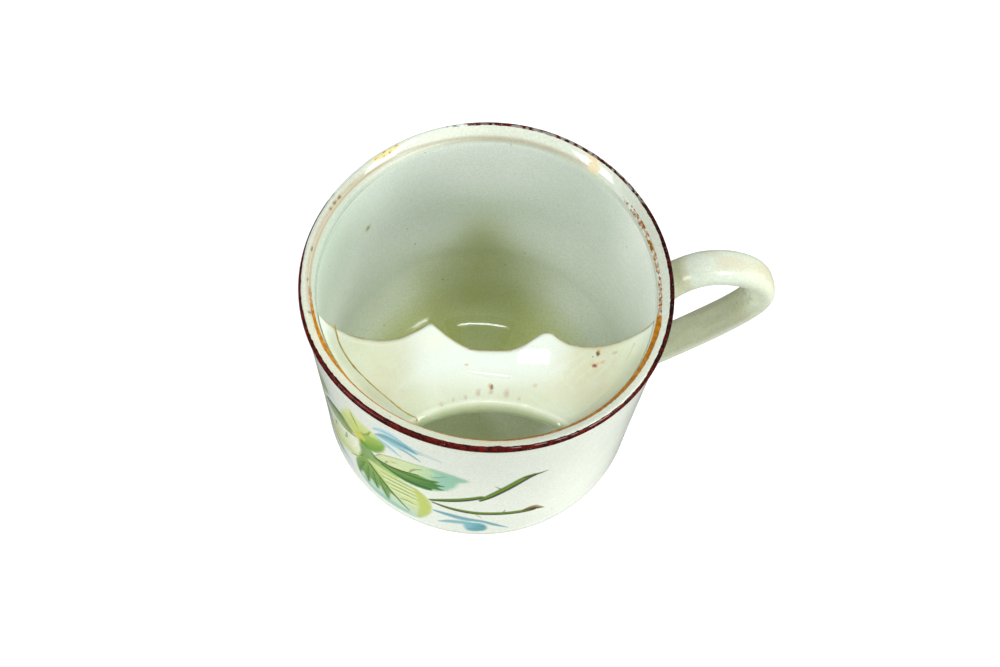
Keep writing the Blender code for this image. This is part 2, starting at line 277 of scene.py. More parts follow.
class Canvas:
    """Colours at the points of a surface, laid on mark by mark. across and up are in millimetres."""

    def __init__(self, across, up, ground, cover=1.0):
        self.across, self.up = across.ravel(), up.ravel()
        self.cover = cover
        self.colour = np.broadcast_to(ground, (self.across.size, 3)).copy()

    def close_to(self, line, reach):
        """Which points lie in the box round a line."""
        low, high = line[:, :2].min(0) - reach, line[:, :2].max(0) + reach
        beside = (self.across > low[0]) & (self.across < high[0])
        return np.flatnonzero(beside & (self.up > low[1]) & (self.up < high[1]))

    def lay(self, at, mask, colour, other=None, share=None):
        """Lays a colour on the points at, or a mix of two by share."""
        if other is not None:
            colour = colour + share[:, None] * (other - colour)
        self.colour[at] += (np.clip(mask, 0, 1) ** self.cover)[:, None] * (colour - self.colour[at])

    def wash(self, mask, colour):
        """Lays a colour over every point."""
        self.lay(np.arange(self.across.size), mask, colour)

    def stroke(self, points, colour, strength=1.0, edge=0.4, bristles=0.22, other=None, fade=None):
        """A brush stroke through (across, up, half width) points. other colours its right-hand side."""
        line = curve(points)
        at = self.close_to(line, line[:, 2].max() + 0.5)
        distance, along, side = nearest(line[:, :2], self.across[at], self.up[at])
        runs = run_of(line[:, :2])
        half = np.maximum(np.interp(along, runs / runs[-1], line[:, 2]), 0.05)
        offset = side / half
        streak = noise(offset * 3.5 + 40 + points[0][0], along * runs[-1] * 0.16 + points[0][1])
        mask = blend(1.0 + edge * 0.5, 1.0 - edge, distance / half)
        mask *= strength * (1 - 0.6 * bristles * streak)
        if fade:
            mask *= blend(0, fade, 1 - along)
        self.lay(at, mask, colour, other, blend(0.35, -0.35, offset + 0.3 * (streak - 0.5)))

    def patch(self, outline, colour, other, span, strength=1.0, edge=0.5, bristles=0.15, grain=(1, 0)):
        """A filled shape with a soft edge. Its colour runs to other along span, a pair of points."""
        line = curve(outline, 8, True)
        at = self.close_to(line, edge)
        across, up = self.across[at], self.up[at]
        distance = nearest(np.vstack([line, line[:1]]), across, up)[0]
        distance *= np.where(inside(line, across, up), 1, -1)
        distance += 0.5 * edge * (clouds(across * 0.6, up * 0.6) - 0.5)
        lengthwise, crosswise = across * grain[0] + up * grain[1], across * grain[1] - up * grain[0]
        mask = blend(-edge, edge, distance) * strength
        mask *= 1 - 0.6 * bristles * noise(lengthwise * 0.2, crosswise * 1.3)
        (x0, y0), (x1, y1) = span
        run = ((across - x0) * (x1 - x0) + (up - y0) * (y1 - y0)) / ((x1 - x0) ** 2 + (y1 - y0) ** 2)
        self.lay(at, mask, colour, other, blend(0, 1, run))

    def spot(self, across, up, size, colour, strength=1.0, stretch=1.0, lean=0.0):
        """A speck with an uneven edge, stretched along the direction lean."""
        dx, dy = self.across - across, self.up - up
        cos, sin = math.cos(lean), math.sin(lean)
        away = np.hypot((dx * cos + dy * sin) / stretch, dx * sin - dy * cos) / size
        at = np.flatnonzero(away < 2)
        rough = away[at] + 0.7 * (clouds(dx[at] * 1.7 / size + across, dy[at] * 1.7 / size + up) - 0.5)
        self.lay(at, strength * blend(1.15, 0.45, rough), colour)


# ---------------------------------------------------------------- meshes and materials


def add_mesh(name, points, rows, columns, wrap_rows, wrap_columns, caps=()):
    """A mesh over a grid of points, rows by columns, in the row frame."""
    row = np.arange(rows if wrap_rows else rows - 1)[:, None]
    column = np.arange(columns if wrap_columns else columns - 1)[None, :]
    next_row, next_column = (row + 1) % rows, (column + 1) % columns
    quads = np.stack([row * columns + column, next_row * columns + column, next_row * columns + next_column,
                      row * columns + next_column], -1).reshape(-1, 4)
    faces = quads.tolist() + [list(cap) for cap in caps]
    place = np.array(points, float).reshape(-1, 3) * MM
    place[:, 0] += AXIS_X * MM
    mesh = bpy.data.meshes.new(name)
    mesh.from_pydata(place.tolist(), [], faces)
    mesh.update()
    piece = bpy.data.objects.new(name, mesh)
    bpy.context.scene.collection.objects.link(piece)
    mesh.shade_smooth()
    return piece


def turned(r, theta, z):
    """Points of a surface round the axis, from radii, angles and heights."""
    return np.stack([r * np.cos(theta), r * np.sin(theta), np.broadcast_to(z, r.shape)], -1)


def colour_points(piece, name, colours, dull=0.0):
    """Stores linear colours at a mesh's points, with how dull the surface is there as alpha."""
    layer = piece.data.color_attributes.new(name, "FLOAT_COLOR", "POINT")
    data = np.ones((len(piece.data.vertices), 4), np.float32)
    data[:, :3] = colours
    data[:, 3] = dull
    layer.data.foreach_set("color", data.ravel())


def store_wear(piece, lost, dark, stained):
    """Stores where a painted line has rubbed off, how dark it is, and how stained the glaze beneath it is."""
    colour_points(piece, "wear", np.stack([part.ravel() for part in (lost, dark, stained)], 1))


def add_node(tree, kind, settings=(), **inputs):
    """A shader node. Inputs are values or sockets, named with _ for a space, or at3 for the fourth."""
    made = tree.nodes.new("ShaderNode" + kind)
    for key, value in dict(settings).items():
        setattr(made, key, value)
    for key, value in inputs.items():
        index = int(key[2:]) if key.startswith("at") and key[2:].isdigit() else key.replace("_", " ")
        socket = made.inputs[index]
        if isinstance(value, bpy.types.NodeSocket):
            tree.links.new(value, socket)
        else:
            socket.default_value = value
    return made


def new_material(name):
    material = bpy.data.materials.new(name)
    material.use_nodes = True
    tree = material.node_tree
    return material, tree, tree.nodes["Principled BSDF"]


def maths(tree, operation, first, second):
    return add_node(tree, "Math", {"operation": operation}, at0=first, at1=second).outputs[0]


def ramp(tree, value, low, high, to_low, to_high):
    """A smooth step of a value from one range to another."""
    made = add_node(tree, "MapRange", {"interpolation_type": "SMOOTHSTEP"}, Value=value, From_Min=low,
                    From_Max=high, To_Min=to_low, To_Max=to_high)
    return made.outputs["Result"]


def mixed(tree, factor, first, second, blend_type="MIX"):
    """Two colours mixed by a factor. Each is a socket, or three linear numbers."""
    socket = bpy.types.NodeSocket
    first, second = (value if isinstance(value, socket) else (*value, 1.0) for value in (first, second))
    settings = {"data_type": "RGBA", "blend_type": blend_type}
    return add_node(tree, "Mix", settings, at0=factor, at6=first, at7=second).outputs[2]


def grain_of(tree, where, scale, detail, roughness):
    made = add_node(tree, "TexNoise", Vector=where, Scale=scale, Detail=detail, Roughness=roughness)
    return made.outputs["Fac"]


def glaze_surface(tree, shader, colour, dull, smoothness=0.05, grain=0.10, ripple=1.0):
    """Glossy fired glaze over a colour: fine grain, sparse dark pinholes, slow ripples and faint smears."""
    where = add_node(tree, "TexCoord").outputs["Object"]
    fine = grain_of(tree, where, 1900.0, 2.0, 0.7)
    slow = grain_of(tree, where, 70.0, 4.0, 0.6)
    cells = add_node(tree, "TexVoronoi", {"feature": "F1"}, Vector=where, Scale=420.0).outputs
    chance = add_node(tree, "SeparateColor", Color=cells["Color"]).outputs
    pit = maths(tree, "MULTIPLY", ramp(tree, cells["Distance"], 0.05, 0.13, 1.0, 0.0),
                ramp(tree, chance["Red"], 0.90, 0.93, 0.0, 1.0))
    lighter = maths(tree, "ADD", ramp(tree, fine, 0.3, 0.7, 1.0 - grain, 1.0 + 0.3 * grain),
                    ramp(tree, slow, 0.3, 0.7, -0.018, 0.012))
    lighter = maths(tree, "SUBTRACT", lighter, maths(tree, "MULTIPLY", pit, 0.5))
    grey = add_node(tree, "CombineColor", Red=lighter, Green=lighter, Blue=lighter).outputs["Color"]
    tree.links.new(mixed(tree, 1.0, colour, grey, "MULTIPLY"), shader.inputs["Base Color"])
    rough = maths(tree, "ADD", ramp(tree, slow, 0.35, 0.75, smoothness, smoothness + 0.05),
                  maths(tree, "MULTIPLY", pit, 0.3))
    rough = maths(tree, "ADD", rough, maths(tree, "MULTIPLY", dull, 0.5))
    tree.links.new(rough, shader.inputs["Roughness"])
    waves = grain_of(tree, where, 160.0, 2.0, 0.45)
    wavy = add_node(tree, "Bump", Strength=0.10 * ripple, Distance=0.0006, Height=waves).outputs["Normal"]
    pitted = add_node(tree, "Bump", {"invert": True}, Strength=0.25, Distance=0.0002, Height=pit, Normal=wavy)
    tree.links.new(pitted.outputs["Normal"], shader.inputs["Normal"])


def painted_glaze(name, **looks):
    """Glaze whose colour is the one stored at the mesh's points."""
    material, tree, shader = new_material(name)
    stored = add_node(tree, "VertexColor", {"layer_name": "paint"}).outputs
    glaze_surface(tree, shader, stored["Color"], stored["Alpha"], **looks)
    return material


def overglaze(name, bright, dark, smoothness, flecks, beneath):
    """A line painted over the glaze, worn as store_wear() says. beneath is the bare glaze's colour, darkened
    to match the painted shade and stains round the line.
    """
    material, tree, shader = new_material(name)
    shader.inputs["Specular IOR Level"].default_value = 0.15
    stored = add_node(tree, "VertexColor", {"layer_name": "wear"}).outputs["Color"]
    parts = add_node(tree, "SeparateColor", Color=stored).outputs
    where = add_node(tree, "TexCoord").outputs["Object"]
    mottle = grain_of(tree, where, 900.0, 3.0, 0.7)
    speck = grain_of(tree, where, 2400.0, 2.0, 0.6)
    tone = maths(tree, "ADD", ramp(tree, mottle, 0.35, 0.65, 0.0, 0.75), parts["Green"])
    lost = maths(tree, "ADD", parts["Red"], ramp(tree, speck, 0.66, 0.80, 0.0, flecks))
    lost = add_node(tree, "Clamp", Value=lost).outputs[0]
    bare = mixed(tree, parts["Blue"], beneath, paint(166, 160, 134))
    tree.links.new(mixed(tree, lost, mixed(tree, tone, bright, dark), bare), shader.inputs["Base Color"])
    kept = maths(tree, "SUBTRACT", 1.0, lost)
    rough = maths(tree, "ADD", maths(tree, "MULTIPLY", kept, smoothness - 0.1), 0.1)
    tree.links.new(rough, shader.inputs["Roughness"])
    uneven = add_node(tree, "Bump", Strength=0.3, Distance=0.0002, Height=mottle)
    tree.links.new(uneven.outputs["Normal"], shader.inputs["Normal"])
    return material


def finish_piece(piece, material, slot, *nodes):
    piece.data.materials.append(material)
    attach(piece, "root")
    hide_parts(*nodes)


# ---------------------------------------------------------------- the cup's surfaces


def warp(theta, z):
    """How far the hand-made rim stands outside a true circle, fading to nothing at the base."""
    oval = 0.31 * np.cos(theta - math.radians(72)) + 0.14 * np.cos(2 * theta + math.radians(5)) + 0.20
    return (oval + 0.41 * np.cos(3 * theta + math.radians(151))) * blend(18, 72, np.asarray(z, float))


def outer_r(z):
    """Radius of the outside wall, from the base rounding up to the neck."""
    z = np.asarray(z, float)
    fall = np.clip((WALL_LOW[1] - z) / (WALL_LOW[1] - BASE[1]), 0, 1)
    low = BASE[0] + (WALL_LOW[0] - BASE[0]) * np.sqrt(1 - fall * fall)
    rise = (z - WALL_LOW[1]) / (WALL_TOP[1] - WALL_LOW[1])
    return np.where(z < WALL_LOW[1], low, WALL_LOW[0] + (WALL_TOP[0] - WALL_LOW[0]) * rise)


def inner_r(z):
    return outer_r(z) - WALL


def lip_path(along, lift=0.0):
    """(radius, height) at a distance along the lip's section from its inner edge, raised off it by lift."""
    line = curve(LIP_KNOTS, 12)
    run = run_of(line)
    slope = np.gradient(line, axis=0)
    slope /= np.hypot(*slope.T)[:, None]
    along = np.asarray(along, float)
    r = np.interp(along, run, line[:, 0]) - lift * np.interp(along, run, slope[:, 1])
    z = np.interp(along, run, line[:, 1]) + lift * np.interp(along, run, slope[:, 0])
    return r, z


def body_profile():
    """Half outline of the cup from the floor's centre, up the inside, over the lip and down the outside."""
    turn = np.linspace(0.0, math.pi / 2, 26)[:-1]
    bowl = np.stack([BOWL_FLAT_R + (inner_r(BOWL_TOP) - BOWL_FLAT_R) * np.sin(turn),
                     BOWL_TOP - (BOWL_TOP - FLOOR_Z) * np.cos(turn)], 1)
    floor = np.vstack([[(r, FLOOR_Z) for r in (0, 7, 14)], bowl])
    heights = np.linspace(BOWL_TOP, THROAT_Z, 54)
    inside_wall = np.stack([inner_r(heights), heights], 1)
    throat = curve([(inner_r(THROAT_Z), THROAT_Z), *THROAT_KNOTS, LIP_KNOTS[0]], 4)[1:-1]
    lip = np.stack(lip_path(np.linspace(0.0, LIP_LENGTH, 36)), 1)
    neck = curve([LIP_KNOTS[-1], *NECK_KNOTS, WALL_TOP], 4)[1:]
    heights = np.linspace(67.5, WALL_LOW[1], 16)
    outside_wall = np.stack([outer_r(heights), heights], 1)
    turn = np.linspace(0.06, math.pi / 2, 18)[1:]
    base = np.stack([BASE[0] + (WALL_LOW[0] - BASE[0]) * np.cos(turn),
                     WALL_LOW[1] - (WALL_LOW[1] - BASE[1]) * np.sin(turn)], 1)
    foot = curve(FOOT_KNOTS, 3)
    foot[:, 1] = np.maximum(foot[:, 1], 0)
    underside = [(r, UNDERSIDE_Z) for r in (18.0, 12.0, 6.0, 0.0)]
    return np.vstack([floor, inside_wall, throat, lip, neck, outside_wall, base, foot, underside])


def build_body():
    profile = body_profile()[::-1]
    thetas = np.linspace(0, 2 * math.pi, TURN_STEPS, endpoint=False)[None, :]
    section_r, section_z = profile[:, :1], profile[:, 1:]
    grown = np.maximum(section_r + warp(thetas, section_z) * (section_r > 1), 0)
    points = turned(grown, thetas, section_z)
    piece = add_mesh("glazed_body", points, len(profile), TURN_STEPS, False, True)
    x, y, z = points.reshape(-1, 3).T
    theta, r = np.arctan2(y, x), np.repeat(profile[:, 0], TURN_STEPS)
    within = (r < inner_r(z) + 0.3) & (z > 5) & (z < 69)
    colour, dull = stain_inside(outside_glaze_and_shade(z), theta, r, z, within)
    foot = (z < 1.4) & (r > 23) & (r < 28)
    colour = tinted(colour, foot * blend(1.0, 0.2, z), (0.66, 0.62, 0.52))
    around_wall, out_of_reach = 40.0, 999.0
    canvas = Canvas(np.where(within, around_wall * theta, out_of_reach), z, colour)
    dull = np.maximum(dull, 0.9 * paint_lip(canvas, (r > 40) & (z > 68.6), theta, r))
    for size, shade, strength in ((1.5, paint(178, 182, 120), 0.45), (0.7, paint(80, 66, 20), 0.95)):
        canvas.spot(around_wall * AGE_SPOT[0], AGE_SPOT[1], size, shade, strength)
    colour_points(piece, "paint", canvas.colour, dull)
    finish_piece(piece, painted_glaze("cup_glaze", ripple=0.5), "body_glaze", "cup_body")


def stain_inside(colour, theta, r, z, within):
    """The inside's colours, with tea staining that deepens to the floor, painted light and painted shade, and
    how dull each point is.
    """
    tea = np.array([0.42, 0.48, 0.15])
    side = np.degrees(np.angle(np.exp(1j * (theta - math.radians(82)))))
    aside = np.abs(side)
    # The inside's glaze is painted lighter than the outside's: painted light.
    colour = tinted(colour, 1.0 * within, GLAZE * (1.08, 1.05, 1.10))
    depth = blend(40, 5, z + 6 * (clouds(theta * 3 + 9, z * 0.12) - 0.5)) ** 1.3
    # Less tea low down beside the guard's painted shadow and deep on the right, which lightens the bowl
    # there: painted light.
    painted_light_low = blend(22, 40, aside) * blend(8, 13, z) * blend(36, 28, z)
    right = blend(70, 35, np.degrees(theta)) * blend(-90, -40, np.degrees(theta))
    colour = tinted(colour, within * 0.78 * depth * (1 - 0.40 * np.maximum(painted_light_low, 1.7 * right)), tea)

    # Painted shade: the guard's painted shadow down the back of the bowl, a darker band at middle height,
    # darker and yellower towards the floor from tea stain and painted shade, painted shade high on the left
    # and round the upper wall, and a painted shadow on the floor under the slot.
    painted_guard_shadow = bump(aside, 0, 11 + 15 * blend(32, 8, z)) * blend(48, 26, z) * blend(24, 30, r)
    painted_middle_shade = bump(aside, 0, 38) * bump(z, 42, np.where(z > 42, 8, 13))
    floor_stain_and_shade = blend(15, 7.2, z) * blend(110, 45, aside) * (0.55 + 0.45 * blend(8, 24, aside))
    left = blend(36, 68, side) * blend(130, 100, side) * blend(34, 54, z)
    upper = blend(32, 58, z) * (0.35 + 0.65 * blend(4, 36, aside)) * blend(-66, -44, side)
    x, y = r * np.cos(theta), r * np.sin(theta)
    painted_slot_shadow = blend(23, 15, r) * blend(4, -3, y - 0.2 * x) * blend(-14, 16, x)
    for mask, factor in ((painted_guard_shadow, (0.68, 0.68, 0.46)), (painted_middle_shade, (0.74, 0.78, 0.73)),
                         (floor_stain_and_shade, (0.82, 0.84, 0.40)), (left, (0.80, 0.84, 0.79)),
                         (upper, (0.74, 0.78, 0.75)), (painted_slot_shadow, (0.70, 0.70, 0.48))):
        colour = colour * (1 - (within * mask)[:, None] * (1 - np.array(factor)))
    rings = 0.5 + 0.5 * np.sin(z * 2.1 + 2.5 * noise(theta * 0.8, z * 0.3))
    colour = tinted(colour, within * 0.035 * rings * blend(66, 50, z), tea)
    colour = tinted(colour, within * 0.10 * clouds(theta * 6, z * 0.5) * blend(66, 56, z), (0.70, 0.75, 0.66))

    # Two places in the bowl are still glossy, where the light over the cup shows as thin arcs.
    back_arc = blend(25, 21, aside) * blend(15.2, 16.5, r) * blend(25.5, 24.0, r)
    left_arc = blend(29, 33, side) * blend(48, 44, side) * blend(25.2, 26.0, r) * blend(27.4, 26.7, r)
    dull = within * (0.65 + 0.35 * blend(36, 26, z)) * blend(68.5, 66.5, z)
    return colour, dull * (1 - np.maximum(back_arc, left_arc))


def paint_lip(canvas, lip, theta, r):
    """Gives the lip's glaze painted shade that varies round it and darkens its inner slope at the left, ages
    it with a stain, a stained line, specks and chips, and returns where it is dull.
    """
    degrees = np.degrees(theta)
    turn = degrees % 360
    # Painted shade: the lip is darker or lighter by angle round it.
    tone = keyed([(-165, 0.74), (-140, 0.75), (-118, 0.82), (-90, 0.86), (-60, 0.95), (-42, 1.0), (-15, 0.84),
                  (15, 0.72), (30, 0.80), (45, 0.94), (75, 0.88), (108, 0.93), (120, 0.84), (135, 0.74),
                  (165, 0.73)], theta)
    canvas.colour[lip] *= tone[lip][:, None] * (1, 1.01, 0.97)
    # Painted shade on the lip's inner slope at the left and back.
    painted_inner_slope_shade = blend(42.5, 41.9, r) * blend(122, 138, turn) * blend(205, 190, turn)
    canvas.colour[lip] *= 1 - painted_inner_slope_shade[lip][:, None] * (0.16, 0.10, 0.11)
    front_left = blend(175, 190, turn) * blend(285, 262, turn)
    canvas.lay(lip, 0.4 * front_left[lip], GLAZE * (0.78, 0.74, 0.58))
    line_r = keyed([(40, 41.3), (60, 41.2), (82, 41.2), (100, 41.5), (125, 42.3), (140, 42.8), (155, 42.8),
                    (170, 42.6), (200, 42.2)], theta)
    line = blend(36, 52, turn) * blend(192, 180, turn) * bump(r, line_r, 0.36 + 0.24 * blend(100, 130, turn))
    canvas.lay(lip, (line * (0.55 + 0.4 * clouds(degrees * 0.15, r * 0.5)))[lip], paint(170, 161, 134))
    for angle, radius in ((140, 42.9), (142.5, 43.0), (145, 42.8), (161, 42.8), (172, 42.4), (-171, 41.9),
                          (-176, 42.6)):
        away = np.hypot((degrees - angle) * 0.76, r - radius)
        canvas.lay(lip, 0.8 * blend(0.6, 0.3, away)[lip], paint(116, 98, 50))
    chipped = 0 * r
    for angle, radius, wide, high, shade in ((117.5, 44.0, 6.5, 1.1, paint(214, 200, 124)),
                                             (44.5, 41.9, 2.6, 1.1, paint(220, 206, 160)),
                                             (46.5, 43.2, 2.8, 0.6, paint(222, 204, 158))):
        away = np.hypot((degrees - angle) / wide, (r - radius) / high)
        away += 0.4 * (clouds(degrees * 0.5, r * 1.5) - 0.5)
        chipped = np.maximum(chipped, blend(1.15, 0.75, away))
        canvas.lay(lip, 0.8 * blend(1.2, 0.6, away)[lip], shade)
        specks = blend(0.74, 0.82, noise(degrees * 1.3, r * 2.2)) * blend(0.9, 0.7, away)
        canvas.lay(lip, specks[lip], paint(130, 92, 30))
    return lip * chipped


# ---------------------------------------------------------------- the guard


def crest_line(x):
    """Where the soft ridge across the guard's middle runs."""
    return -21.9 - 0.155 * x + 0.012 * x * x


def guard_height(x, y):
    """Height of the guard's top before its edges: dished wings, a soft ridge, and a lean to the front."""
    wings = WING_DEPTH * bump(np.abs(x), WING_X, WING_REACH) * bump(y, WING_Y, WING_REACH)
    wings *= blend(13, 21, np.abs(x))
    crest = 0.09 * bump(y, crest_line(x), 1.1) * blend(-8, -5, x) * blend(8.5, 5.5, x)
    lean = 0.012 * np.clip(5.5 - x, 0, 11) * blend(-26, -22, y)
    slope = 0.35 * blend(-21, -32, y) * blend(22, 8, np.abs(x))
    return GUARD_TOP - wings + crest + lean - slope


def to_cup(x, y):
    """Places about the cup's axis of points in the guard's frame, and how far they are from the wall."""
    cos, sin = math.cos(GUARD_TURN), math.sin(GUARD_TURN)
    cup_x, cup_y = x * cos - y * sin, x * sin + y * cos
    wall = inner_r(GUARD_EDGE_Z) + warp(np.arctan2(cup_y, cup_x), GUARD_EDGE_Z)
    to_wall = wall - np.hypot(cup_x, cup_y)
    return cup_x, cup_y, to_wall


def crescent_edge(x):
    """How far back the crescent's edge is."""
    return CRESCENT_CENTRE_Y + np.sqrt(np.maximum(CRESCENT_R**2 - x * x, 0))


def rolled(distance, length, drop):
    """How far an edge falls away near its end."""
    share = np.clip((length - distance) / length, 0, 1)
    return drop * (1 - np.sqrt(1 - share * share))


def front_edge(to_front, thin):
    """Height of the bead and the roll along the crescent, by the distance from its edge."""
    bead = BEAD_HEIGHT * bump(to_front, BEAD_PLACE, BEAD_WIDTH) * (to_front < 6)
    return bead - rolled(to_front, FRONT_ROLL, thin * 0.5)


def build_guard():
    columns, rows = 380, 104
    widest = math.asin(GUARD_HALF_WIDTH / GUARD_BURIED_R)
    x = GUARD_BURIED_R * np.sin(np.linspace(-widest, widest, columns))[:, None]
    line = curve(REAR_EDGE, 10)
    rear = np.interp(x, line[:, 0], line[:, 1])
    circle = -np.sqrt(GUARD_BURIED_R**2 - x * x)
    arch = np.where(np.abs(x) < CRESCENT_R, crescent_edge(x), -np.inf)
    front = np.maximum(circle, arch)
    u = np.linspace(0, 1, rows)[None, :]
    y = front + (rear - front) * (0.5 * u + 0.5 * (0.5 - 0.5 * np.cos(math.pi * u)))
    x = np.broadcast_to(x, y.shape)
    cup_x, cup_y, to_wall = to_cup(x, y)
    to_rear, to_front = rear - y, np.where(arch > circle, y - front, 9)

    thin = GUARD_THICK - 0.7 * blend(7, 0, to_rear)
    buried = np.maximum(-to_wall, 0)
    top = guard_height(x, y)
    low = top - thin
    top = top + front_edge(to_front, thin) + rolled(to_wall, *FILLET) - 2.2 * buried
    top = top - rolled(to_rear, REAR_ROLL, thin * 0.55)
    low = low - rolled(to_wall, *UNDER_FILLET) + 1.5 * buried
    low = low + rolled(to_rear, REAR_UNDER_ROLL, thin * 0.45) + rolled(to_front, FRONT_UNDER_ROLL, thin * 0.5)
    low = np.minimum(low, top - 0.02)
    sides = [np.stack([cup_x, cup_y, height], -1) for height in (top, low)]
    ring = np.concatenate([sides[0], sides[1][:, ::-1]], 1)
    count = ring.shape[1]
    ends = (range(count)[::-1], range((columns - 1) * count, columns * count))
    piece = add_mesh("guard_ledge", ring, columns, count, False, True, ends)

    across, up = (np.concatenate([place, place[:, ::-1]], 1) for place in (x, y))
    # The guard's glaze is painted a little darker than the cup's: painted shade.
    canvas = Canvas(across, up, GLAZE * (0.89, 0.90, 0.90))
    paint_guard(canvas)
    rim_tint = bump(to_rear, 0.3, 0.55) * (0.5 + 0.8 * clouds(x * 0.7, 5.0))
    canvas.wash(np.concatenate([0.95 * rim_tint, 0 * rim_tint], 1).ravel(), paint(156, 144, 84))
    # Painted shade down the crescent's rolled edge and a painted highlight along the bead's crest.
    shaded, bright = blend(1.9, 0.2, to_front)[..., None], bump(to_front, 2.3, 0.55)[..., None]
    painted_bead_light_and_shade = (1 - shaded * (0.42, 0.38, 0.52)) * (1 + bright * (0.09, 0.07, 0.12))
    canvas.colour *= np.concatenate([painted_bead_light_and_shade, np.ones_like(painted_bead_light_and_shade)], 1).reshape(-1, 3)

    # Two places on the top are glossy, and show a pane of light and a thin gleam.
    pane = blend(6.6, 7.8, x) * blend(15.6, 14.4, x) * blend(-19.3, -18.5, y) * blend(-14.6, -15.4, y)
    gleam = bump(y, crest_line(x), 0.7) * blend(-5.6, -4.4, x) * blend(6.0, 4.8, x)
    satin = 0.64 * (1 - np.maximum(pane, gleam)) * blend(2.2, 2.7, to_front)
    colour_points(piece, "paint", canvas.colour, np.concatenate([satin, satin], 1).ravel())
    finish_piece(piece, painted_glaze("guard_glaze", smoothness=0.045, grain=0.04), "guard_glaze",
                 "moustache_guard", "guard_slip_left", "guard_slip_right")


def paint_guard(canvas):
    """Age marks on the guard: darkening to the front and in the wings from dirt and painted shade, grey-olive
    dirt in the wings, iron specks, and worn marks by the crescent.
    """
    x, y = canvas.across, canvas.up
    dirt = np.array([0.56, 0.54, 0.33])
    # Darker and yellower towards the front and out in the wings, from dirt and painted shade, and lighter
    # again in a patch by the right wall.
    stained = np.maximum(blend(-19, -29, y), blend(13, 25, np.abs(x)) * blend(-7, -15, y))
    stained *= 0.75 + 0.5 * clouds(x * 0.22 + 9, y * 0.22)
    canvas.colour *= 1 - stained[:, None] * (0.22, 0.22, 0.38)
    canvas.colour *= 1 + 0.16 * (blend(27, 33, x) * blend(-20, -14, y))[:, None]
    left = bump(x, 0.35 * (y + 22) - 24, 5.5) * bump(y, -21, 7.5)
    right = bump(x, 25, 7.5) * bump(y, -21, 6.5)
    canvas.wash(0.44 * left * (0.3 + 1.4 * clouds(x * 0.9, y * 0.9)), dirt)
    smear = 0.42 * bump(x, 19.5, 6.0) * bump(y, -25.5, 3.8) + 0.30 * bump(x, -24, 6.0) * bump(y, -27.5, 3.0)
    canvas.wash(smear * (0.6 + 0.8 * clouds(x * 0.7 + 5, y * 0.7)), dirt)
    diagonal = noise((x - y) * 0.9, (x + y) * 0.13)
    canvas.wash(0.62 * right * (0.1 + 1.9 * diagonal * clouds(x * 0.8, y * 0.8) * 1.5), dirt)
    canvas.wash(0.05 + 0.09 * clouds(x * 0.5 + 80, y * 0.5), np.array([0.70, 0.74, 0.62]))
    canvas.wash(0.30 * bump(x, -13, 3) * bump(y, -13, 2.2), np.array([0.80, 0.80, 0.55]))

    brown, orange, grey = paint(70, 42, 8), paint(198, 140, 30), paint(184, 172, 154)
    ochre = paint(186, 170, 120)
    for speck in ((26.5, -15.8, 0.55, brown, 0.95, 1.4, 1.4), (26.7, -15.2, 0.5, orange, 0.6, 1.3, 1.2),
                  (25.6, -19.0, 0.55, paint(140, 66, 12), 0.95, 1.3),
                  (27.6, -18.0, 0.45, orange, 0.5, 1.8, 0.6),
                  (26.4, -18.4, 0.35, orange, 0.45, 1.6, 0.9),
                  (30.5, -15.6, 0.5, paint(160, 138, 90), 0.4, 1.8, 0.4),
                  (1.0, -25.2, 0.52, brown, 0.95, 1.5, 1.5), (0.6, -24.8, 0.5, orange, 0.55, 1.5, 1.4),
                  (-5.0, -19.4, 0.42, paint(190, 172, 128), 0.8), (-4.1, -15.1, 0.3, brown, 0.8, 1.8, 2.7),
                  (11.3, -24.6, 0.55, paint(186, 176, 130), 0.6, 1.3, 0.3),
                  (-20.2, -26.5, 0.35, ochre, 0.4, 1.2),
                  (5.6, -15.6, 0.25, brown, 0.35), (-30.0, -17.0, 0.3, ochre, 0.35, 1.2)):
        canvas.spot(*speck)
    for across, up, size in ((-11.0, -29.8, 0.5), (-8.1, -28.6, 0.42), (-5.3, -27.8, 0.6), (-2.3, -26.6, 0.8),
                             (0.8, -26.2, 0.75), (4.4, -26.6, 0.95), (7.4, -28.0, 0.45)):
        canvas.spot(across, up, size, grey, 0.55, 1.5, 1.35)
        canvas.spot(across + 0.15, up - 0.25, size * 0.6, paint(160, 136, 112), 0.3, 1.4, 1.35)
    canvas.stroke([(-33, -13.4, 0.25), (-25, -14.4, 0.35), (-18, -12.9, 0.2)], paint(215, 214, 188), 0.35)
    for _ in range(110):
        angle, reach = rng.uniform(-math.pi, 0), 39 * math.sqrt(rng.uniform(0.1, 1))
        size, strength = rng.uniform(0.14, 0.3), rng.uniform(0.2, 0.6)
        canvas.spot(reach * math.cos(angle), reach * math.sin(angle), size, dirt, strength)


# ---------------------------------------------------------------- the lines on the lip and the guard


def lip_strip(name, theta, along, lift):
    """A thin strip round the lip, through distances along its section, one row for each angle."""
    r, z = lip_path(along, lift - LINE_SINK)
    return add_mesh(name, turned(r + warp(theta, z), theta, z), *along.shape, True, False)


